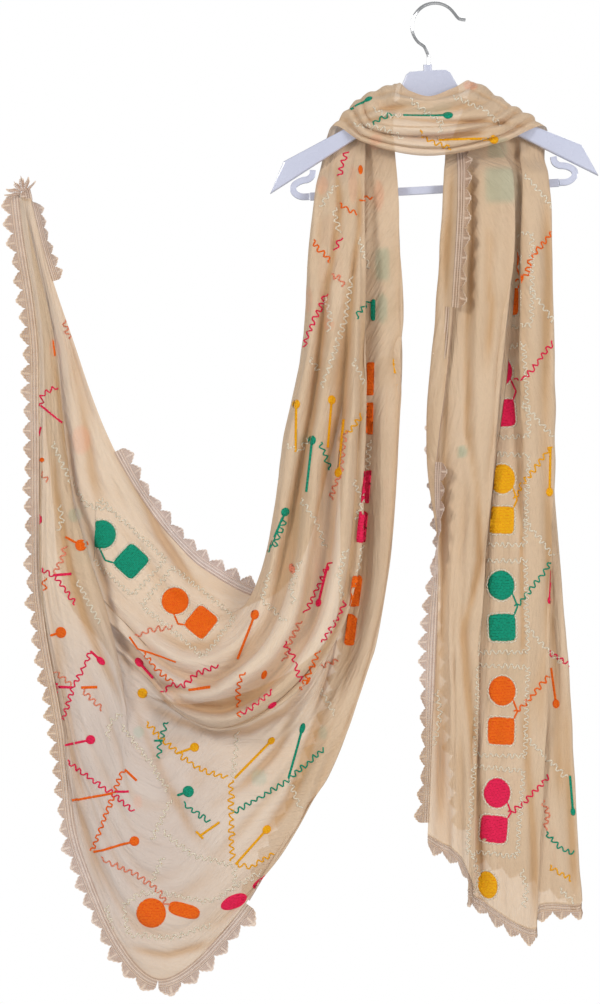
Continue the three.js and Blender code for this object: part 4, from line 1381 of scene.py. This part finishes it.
# The border of the swept end, seen on its outer face.
open_side = ((-1.2, 0.0), (0.3, 0.3))
hidden_by = (((-0.70, -0.64), (-0.4190, -0.4150)), open_side)
pair("teal", (-0.4075, -0.6466), (-0.3715, -0.6795), 0.0175, 0.0175, leg=-1)
hidden_by = None
pair("orange", (-0.3179, -0.7280), (-0.2861, -0.7540), 0.0165, 0.0165, leg=-1)
blob("orange", (-0.3465, -1.1081), 0.0182, 0.0182)
blob("orange", (-0.3062, -1.1045), 0.0195, 0.0085, -14, 3.0)
blob("crimson", (-0.2456, -1.0947), 0.0172, 0.0085, 24, 2.0)
blob("crimson", (-0.2111, -1.0693), 0.0140, 0.0042, 38, 3.0)
blob("teal", (-0.3975, -1.1285), 0.0022, 0.0140, 24, 2.0)
for path in (
    [(-0.3806, -1.0986), (-0.3745, -1.1340), (-0.3233, -1.1389), (-0.2745, -1.1230)],
    [(-0.3806, -1.0986), (-0.3599, -1.0840), (-0.3294, -1.0840), (-0.2891, -1.0925)],
    [(-0.2879, -1.0949), (-0.2672, -1.0901), (-0.2477, -1.0779), (-0.2111, -1.0583)],
    [(-0.4666, -0.5342), (-0.4551, -0.5581), (-0.4429, -0.5874)],
    [(-0.4392, -0.5923), (-0.4258, -0.6106), (-0.3965, -0.6167)],
    [(-0.4014, -1.0986), (-0.3941, -1.1352)],
    [(-0.4575, -0.6106), (-0.4538, -0.6289), (-0.4599, -0.6411)],
    [(-0.4368, -0.7021), (-0.4209, -0.7314), (-0.4075, -0.7533)],
    [(-0.3819, -0.8631), (-0.3965, -0.8753), (-0.3989, -0.8949)],
    [(-0.3821, -0.8790), (-0.3456, -0.9266), (-0.3260, -0.9601)],
    [(-0.2419, -0.8873), (-0.2462, -0.9434)],
    [(-0.3316, -1.0078), (-0.2980, -1.0358), (-0.2447, -1.0513)],
    [(-0.3233, -0.9714), (-0.3456, -1.0191)],
    [(-0.3316, -1.0386), (-0.3456, -1.0723)],
    [(-0.2440, -1.0535), (-0.2452, -1.0803)],
    [(-0.1793, -0.9449), (-0.1647, -0.9803)],
    [(-0.1159, -0.9217), (-0.1427, -0.9888), (-0.1769, -1.0315)],
    [(-0.1403, -0.8363), (-0.1220, -0.8668)],
):
    zigzag("gold", path)
zigzag("rose", [(-0.4508, -0.6600), (-0.4551, -0.6777), (-0.4653, -0.6958)])
zigzag("crimson", [(-0.4812, -0.6891), (-0.4653, -0.6958), (-0.4502, -0.7143), (-0.4370, -0.7302)])
zigzag("orange", [(-0.4771, -0.6997), (-0.4758, -0.7143)])
bar("crimson", (-0.4648, -0.6960), (-0.4429, -0.6944))
zigzag("crimson", [(-0.4613, -0.4668), (-0.4798, -0.4760), (-0.4812, -0.4893)])
bar("crimson", (-0.4812, -0.4893), (-0.4547, -0.5104), 0.0026)
bar("crimson", (-0.4812, -0.5154), (-0.4839, -0.5264), 0.0026)
blob("orange", (-0.4798, -0.5557), 0.003, 0.003)
zigzag("rose", [(-0.4812, -0.5713), (-0.4719, -0.5806)])
blob("crimson", (-0.4831, -0.6282), 0.004, 0.006)
pin("orange", (-0.4309, -0.6594), (-0.4502, -0.6496), 0.0072)
pin("orange", (-0.4560, -0.7658), (-0.4691, -0.7698), 0.0070)
pin("crimson", (-0.4071, -0.8002), (-0.4197, -0.7881), 0.0064, 0.62)
zigzag("crimson", [(-0.4199, -0.7879), (-0.4282, -0.8095), (-0.4416, -0.8327), (-0.4549, -0.8734)])
bar("crimson", (-0.4619, -0.8327), (-0.4422, -0.8327))
bar("crimson", (-0.4619, -0.8278), (-0.4619, -0.8400), 0.003)
zigzag("rose", [(-0.4422, -0.8314), (-0.4647, -0.8131)])
bar("orange", (-0.4310, -0.8327), (-0.4115, -0.8322))
zigzag("rose", [(-0.4297, -0.8356), (-0.4059, -0.8594)])
pin("crimson", (-0.4199, -0.8963), (-0.4521, -0.9041), 0.0058)
zigzag("crimson", [(-0.4493, -0.9238), (-0.3960, -0.9601), (-0.3681, -0.9826)])
bar("orange", (-0.4437, -0.9714), (-0.3932, -0.9616), 0.003)
bar("crimson", (-0.3904, -0.9594), (-0.3737, -0.9594), 0.003)
zigzag("orange", [(-0.3793, -0.9322), (-0.3904, -0.9575), (-0.3989, -0.9827), (-0.4185, -1.0331)])
bar("orange", (-0.3778, -0.9322), (-0.3638, -0.9461), 0.003)
pin("orange", (-0.3666, -1.0199), (-0.4171, -1.0344), 0.0060)
zigzag("rose", [(-0.4072, -1.0414), (-0.3653, -1.0610), (-0.3372, -1.0807), (-0.3260, -1.1003)])
blob("orange", (-0.4956, -0.3642), 0.0022, 0.0110, 4)
zigzag("rose", [(-0.4551, -0.3849), (-0.4465, -0.4069)])
# Stitching on a layer behind, seen through the front one.
for colour, spot, wide, tall in (
    ("orange", (-0.4331, -0.5289), 0.0120, 0.0190),
    ("orange", (-0.4648, -0.4191), 0.0060, 0.0110),
    ("teal", (-0.4392, -0.6228), 0.0080, 0.0080),
    ("teal", (-0.4307, -0.6740), 0.0090, 0.0090),
    ("orange", (0.0403, -0.1006), 0.0120, 0.0060),
):
    blob(colour, spot, wide, tall, below=1)
# The rolls of the sweep.
thread("orange", [(-0.3727, -0.7712), (-0.3621, -0.7857), (-0.3157, -0.8015)], 0.0022)
zigzag("rose", [(-0.3660, -0.7712), (-0.3477, -0.7631), (-0.3211, -0.7592)])
pin("crimson", (-0.3612, -0.8024), (-0.3436, -0.8214), 0.0062, 0.7)
zigzag("orange", [(-0.3555, -0.7909), (-0.3395, -0.8095), (-0.3211, -0.8253)])
zigzag("crimson", [
    (-0.3331, -0.8400), (-0.3211, -0.8280), (-0.3051, -0.8307), (-0.2946, -0.8174), (-0.2641, -0.8056),
])
bar("orange", (-0.2999, -0.8346), (-0.2734, -0.8307), 0.003)
pin("orange", (-0.2197, -0.7433), (-0.2408, -0.7976), 0.0062, 0.8)
zigzag("orange", [(-0.2336, -0.8118), (-0.2403, -0.8363), (-0.2379, -0.8650)])
zigzag("crimson", [(-0.2363, -0.8622), (-0.2159, -0.8485), (-0.1972, -0.8341)])
zigzag("crimson", [(-0.1846, -0.7765), (-0.1747, -0.7921), (-0.1635, -0.8229)])
zigzag("rose", [(-0.1412, -0.8090), (-0.1187, -0.8006)])
blob("orange", (-0.2084, -0.8159), 0.0032, 0.0058, -20)
blob("crimson", (-0.1985, -0.8522), 0.0062, 0.0032, 35)
blob("orange", (-0.1552, -0.8241), 0.0026, 0.0065, -20)
blob("amber", (-0.3569, -0.8400), 0.0064, 0.0064)
# The field below the rolls.
zigzag("teal", [(-0.3274, -0.8747), (-0.3344, -0.8929), (-0.3379, -0.9193)])
bar("teal", (-0.3428, -0.8979), (-0.3331, -0.8985), 0.0028)
zigzag("amber", [
    (-0.3526, -0.8762), (-0.3331, -0.8972), (-0.3093, -0.9180), (-0.2896, -0.9322), (-0.2531, -0.9434),
])
pin("amber", (-0.2938, -0.9065), (-0.3148, -0.9140), 0.0056)
pin("amber", (-0.2000, -0.8985), (-0.2447, -0.9434), 0.0050, 0.8)
zigzag("amber", [(-0.2489, -0.9461), (-0.2489, -0.9882), (-0.2477, -1.0442)], swing=0.0034)
pin("teal", (-0.3013, -0.9601), (-0.3148, -0.9656), 0.0070)
zigzag("teal", [(-0.3078, -0.9756), (-0.2756, -0.9953)])
bar("amber", (-0.2630, -0.9966), (-0.2868, -1.0135), 0.003)
bar("amber", (-0.2916, -1.0083), (-0.2830, -1.0169), 0.003)
zigzag("teal", [
    (-0.2477, -0.9854), (-0.2135, -0.9668), (-0.1803, -0.9461), (-0.1574, -0.9266), (-0.1355, -0.9071),
])
pin("teal", (-0.1621, -0.8832), (-0.1790, -0.9434), 0.0068, 0.5)
pin("amber", (-0.2056, -1.0064), (-0.2434, -1.0485), 0.0058, 0.85)
zigzag("amber", [(-0.2428, -1.0486), (-0.2233, -1.0510), (-0.1972, -1.0358)])
# The bunched folds that come down from the left arm.
for colour, path in (
    ("crimson", [(-0.1082, -0.1775), (-0.1175, -0.2117)]),
    ("gold", [(-0.1215, -0.2222), (-0.1399, -0.2500)]),
    ("orange", [(-0.1175, -0.2473), (-0.1074, -0.2544), (-0.0950, -0.2592)]),
    ("orange", [(-0.0924, -0.2446), (-0.0791, -0.2355)]),
    ("orange", [(-0.1505, -0.2922), (-0.1403, -0.3044), (-0.1281, -0.3174)]),
    ("crimson", [(-0.1161, -0.2884), (-0.1215, -0.3043)]),
    ("rose", [(-0.1281, -0.3349), (-0.1159, -0.3373), (-0.1135, -0.3483)]),
    ("gold", [(-0.0950, -0.2898), (-0.0817, -0.3239)]),
    ("crimson", [(-0.1333, -0.3559), (-0.1501, -0.3922), (-0.1612, -0.4193)]),
    ("teal", [(-0.0791, -0.3625), (-0.0891, -0.3727), (-0.0976, -0.3849)]),
    ("gold", [(-0.1030, -0.3346), (-0.1098, -0.3849), (-0.1268, -0.4353), (-0.1399, -0.4697)]),
    ("gold", [(-0.1016, -0.4353), (-0.0871, -0.4630)]),
    ("gold", [(-0.1537, -0.4325), (-0.1427, -0.4483)]),
    ("amber", [(-0.1082, -0.5252), (-0.0897, -0.5014)]),
    ("teal", [(-0.1415, -0.5350), (-0.1330, -0.5557), (-0.1281, -0.5679)]),
    ("gold", [(-0.1830, -0.5386), (-0.1647, -0.5459), (-0.1549, -0.5313)]),
    ("teal", [(-0.2086, -0.6655), (-0.1952, -0.6594), (-0.1842, -0.6289)]),
    ("gold", [(-0.1647, -0.6045), (-0.1464, -0.6289), (-0.1342, -0.6631)]),
    ("rose", [(-0.1098, -0.5215), (-0.1159, -0.5679), (-0.1281, -0.6045)]),
    ("crimson", [(-0.1281, -0.6777), (-0.1427, -0.7082), (-0.1586, -0.7411)]),
    ("rose", [(-0.1647, -0.7509), (-0.1769, -0.7753), (-0.1842, -0.7997)]),
    ("gold", [(-0.2013, -0.6899), (-0.2111, -0.7265), (-0.1830, -0.7509)]),
    ("crimson", [(-0.1379, -0.7753), (-0.1220, -0.7509), (-0.1098, -0.7265)]),
    ("gold", [(-0.1354, -0.3605), (-0.1281, -0.3825), (-0.1305, -0.4032)]),
    ("gold", [(-0.1098, -0.6631), (-0.1183, -0.6960), (-0.1135, -0.7241)]),
    ("gold", [(-0.1647, -0.6777), (-0.1757, -0.7082), (-0.1720, -0.7289)]),
    ("gold", [(-0.1232, -0.2531), (-0.1183, -0.2824)]),
    ("gold", [(-0.1013, -0.5801), (-0.0891, -0.6045), (-0.0964, -0.6289)]),
    ("orange", [(-0.1427, -0.7851), (-0.1501, -0.8046), (-0.1647, -0.8363)]),
):
    zigzag(colour, path)
blob("orange", (-0.0915, -0.2037), 0.0028, 0.0062)
pin("amber", (-0.1696, -0.4886), (-0.1704, -0.5464), 0.0056, 0.85)
pin("amber", (-0.1268, -0.4837), (-0.1315, -0.5411), 0.0056, 0.85)
pin("teal", (-0.1505, -0.5325), (-0.1574, -0.5948), 0.0060, 0.8)
pin("amber", (-0.1188, -0.5716), (-0.1122, -0.5069), 0.0056, 0.8)
pin("teal", (-0.1830, -0.6191), (-0.2037, -0.6679), 0.0056, 0.85)
pin("crimson", (-0.1427, -0.7289), (-0.1318, -0.6838), 0.0050, 0.7)
blob("rose", (-0.1745, -0.6875), 0.0036, 0.0062, 15)
# The border strip deep in the gap beside the smooth band.
gap_heights = (-0.80, -0.70, -0.56, -0.43, -0.35)
gap_left = (gap_heights, (-0.1135, -0.1013, -0.0866, -0.0823, -0.0775))
gap_right = (gap_heights, (-0.1013, -0.0885, -0.0769, -0.0744, -0.0732))
hidden_by = (gap_left, gap_right)
for colour, spot, wide, tall, turn, corner in (
    ("teal", (-0.0759, -0.3739), 0.0030, 0.0130, 0, 4.0),
    ("orange", (-0.0805, -0.4569), 0.0160, 0.0200, 0, 3.0),
    ("orange", (-0.0805, -0.5051), 0.0160, 0.0195, 0, 6.0),
    ("crimson", (-0.0842, -0.5887), 0.0150, 0.0200, 4, 5.0),
    ("crimson", (-0.0903, -0.6374), 0.0150, 0.0195, 6, 2.5),
    ("orange", (-0.0988, -0.7155), 0.0150, 0.0195, 8, 3.0),
    ("orange", (-0.1049, -0.7631), 0.0150, 0.0195, 10, 2.2),
):
    blob(colour, spot, wide, tall, turn, corner, height=0.0024)
zigzag("gold", [(-0.0805, -0.5313), (-0.0830, -0.5679)])
zigzag("gold", [(-0.0891, -0.6594), (-0.0952, -0.6924)])
hidden_by = None
for colour, spot, corner in (
    ("teal", (-0.0647, -0.3190), 5.0),
    ("teal", (-0.0634, -0.3715), 2.0),
    ("amber", (-0.0573, -0.4483), 5.0),
    ("rose", (-0.0769, -0.2324), 2.0),
):
    blob(colour, spot, 0.0150, 0.0185, 0, corner, below=1)
# The border column of the right end, partly under the plain fold, with its zigzags.
plain_fold = (
    (-1.069, -0.700, -0.590, -0.509, -0.448, -0.420, -0.380, -0.314, -0.275),
    (0.0183, 0.0610, 0.0708, 0.0799, 0.0878, 0.0897, 0.0933, 0.0976, 0.0976),
)
hidden_by = (plain_fold, open_side)
for colour, disc, square in (
    ("orange", (0.0842, -0.3135), (0.0842, -0.3638)),
    ("crimson", (0.0775, -0.4483), (0.0811, -0.4987)),
    ("amber", (0.0809, -0.5789), (0.0793, -0.6289)),
    ("teal", (0.0793, -0.7082), (0.0805, -0.7594)),
    ("orange", (0.0805, -0.8363), (0.0793, -0.8851)),
    ("crimson", (0.0744, -0.9607), (0.0708, -1.0047)),
):
    pair(colour, disc, square, 0.0158, 0.0180)
blob("amber", (0.0634, -1.0730), 0.0115, 0.0165, 6)
outline((0.0634, -1.0730), 0.0127, 0.0177, 6, 2.0, -1, 0)
hidden_by = None
for colour, path in (
    ("orange", [(0.0976, -0.3410), (0.1086, -0.3324), (0.1122, -0.3141), (0.1418, -0.2791)]),
    ("crimson", [(0.0964, -0.4593), (0.1074, -0.4569), (0.1418, -0.4127)]),
    ("amber", [(0.0964, -0.6045), (0.1086, -0.5801), (0.1403, -0.5398)]),
    ("teal", [(0.0964, -0.7338), (0.1110, -0.7192), (0.1403, -0.6801)]),
    ("orange", [(0.0964, -0.8631), (0.1122, -0.8485), (0.1379, -0.8192)]),
    ("crimson", [(0.0903, -0.9851), (0.1086, -0.9705), (0.1379, -0.9412)]),
    ("gold", [(0.1061, -0.2104), (0.1418, -0.2527)]),
    ("gold", [(0.1100, -0.3479), (0.1418, -0.3876)]),
    ("gold", [(0.1035, -0.4869), (0.1418, -0.5279)]),
    ("gold", [(0.1061, -0.6289), (0.1440, -0.6728)]),
    ("gold", [(0.1086, -0.7582), (0.1549, -0.8046)]),
    ("gold", [(0.1061, -0.8900), (0.1598, -0.9437)]),
    ("crimson", [(0.1379, -0.7899), (0.1684, -0.8070)]),
    ("teal", [(0.1342, -1.0095), (0.1525, -1.0291), (0.1696, -1.0352)]),
    ("amber", [(0.1379, -1.0510), (0.1671, -1.0681)]),
    ("gold", [(0.0451, -1.0339), (0.0525, -1.0657), (0.0464, -1.0925)]),
    ("gold", [(0.1037, -1.0535), (0.1110, -1.0779), (0.1061, -1.0998)]),
    ("gold", [(0.1501, -1.0779), (0.1696, -1.0949)]),
    ("gold", [(0.0012, -0.8363), (0.0061, -0.8668), (-0.0012, -0.9034)]),
    ("rose", [(0.1305, -0.9705), (0.1379, -0.9888), (0.1330, -1.0071)]),
):
    zigzag(colour, path)
pin("amber", (0.1383, -0.5948), (0.1391, -0.5411), 0.0056, 0.8)
pin("orange", (0.1476, -0.8534), (0.1415, -0.8095), 0.0056, 0.8)
pin("teal", (0.1684, -0.9851), (0.1647, -0.9412), 0.0050, 0.6)
pin("crimson", (0.1391, -0.7265), (0.1415, -0.6899), 0.0046, 0.6)
blob("teal", (0.0793, -0.2239), 0.0150, 0.0210, 0, 6.0, below=1)
blob("teal", (0.0317, -0.5459), 0.0060, 0.0070, 0, 2.0, below=1)
# The loop across the front.
pin("teal", (0.0134, -0.1403), (-0.0403, -0.1397), 0.0062, 0.75)
pin("teal", (-0.0817, -0.1177), (-0.1037, -0.1287), 0.0050, 0.6)
pin("amber", (0.0695, -0.1684), (0.0024, -0.1696), 0.0060, 0.8)
for colour, path in (
    ("gold", [(-0.0769, -0.1311), (-0.0573, -0.1409), (-0.0427, -0.1397)]),
    ("gold", [(-0.0329, -0.1214), (-0.0183, -0.1311), (0.0061, -0.1507), (0.0012, -0.1690)]),
    ("gold", [(0.0183, -0.1165), (0.0549, -0.1311), (0.0793, -0.1507)]),
    ("amber", [(-0.0207, -0.1604), (-0.0085, -0.1702), (0.0183, -0.1799)]),
    ("gold", [(-0.1013, -0.1482), (-0.0695, -0.1555), (-0.0403, -0.1677)]),
    ("teal", [(-0.0525, -0.1372), (-0.0671, -0.1434), (-0.0769, -0.1507)]),
):
    zigzag(colour, path)

# The faces turned away: the same borders and field, on the rear layers.
cycle = ("teal", "orange", "crimson", "amber")
border_right, border_left, border_pitch, half_pair = 0.092, -0.128, 0.124, 0.023
field_step, field_row, border_room = 0.0685, 0.122, 0.035


def rear_layer(x, z):
    """True where another layer of cloth lies behind the front one."""
    front, _ = cloth_under(x, z, -1, 0)
    back, _ = cloth_under(x, z, 1, 0)
    return front is not None and back is not None


for column, first, last, shift in (
    (border_right, -0.31, -1.02, 0),
    (border_left, -0.30, -0.70, 2),
):
    z, number = first, shift
    while z > last:
        if rear_layer(column, z):
            pair(cycle[number % 4], (column, z + half_pair), (column, z - half_pair), side=1, leg=-1)
        z, number = z - border_pitch, number + 1
for row in range(10):
    for step in range(14):
        x, z = -0.47 + step * field_step, -0.27 - row * field_row - (step % 2) * field_row / 2
        near_border = min(abs(x - border_right), abs(x - border_left)) < border_room
        if near_border or not rear_layer(x, z):
            continue
        colour = cycle[(row + step // 2) % 4]
        if rear_layer(x, z + 0.05):
            pin(colour, (x, z + 0.052), (x, z), 0.0060, 0.85, side=1)
        for way in (-1, 1):
            end = (x + 0.060 * way, z - 0.054)
            if rear_layer(*end):
                zigzag(colour if way > 0 else "gold", [(x, z), end], side=1)

for colour, (points, faces, flats) in stitching.items():
    mesh = bpy.data.meshes.new("stitching_" + colour)
    mesh.from_pydata([tuple(p) for p in points], [], faces)
    uv = mesh.uv_layers.new(name="cut")
    corner_flats = np.array(flats, dtype=np.float32)[[v for face in faces for v in face]]
    uv.data.foreach_set("uv", corner_flats.ravel())
    mesh.polygons.foreach_set("use_smooth", [True] * len(mesh.polygons))
    mesh.materials.append(flosses[colour])
    piece = bpy.data.objects.new("stitching_" + colour, mesh)
    bpy.context.collection.objects.link(piece)
    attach(piece, "root")
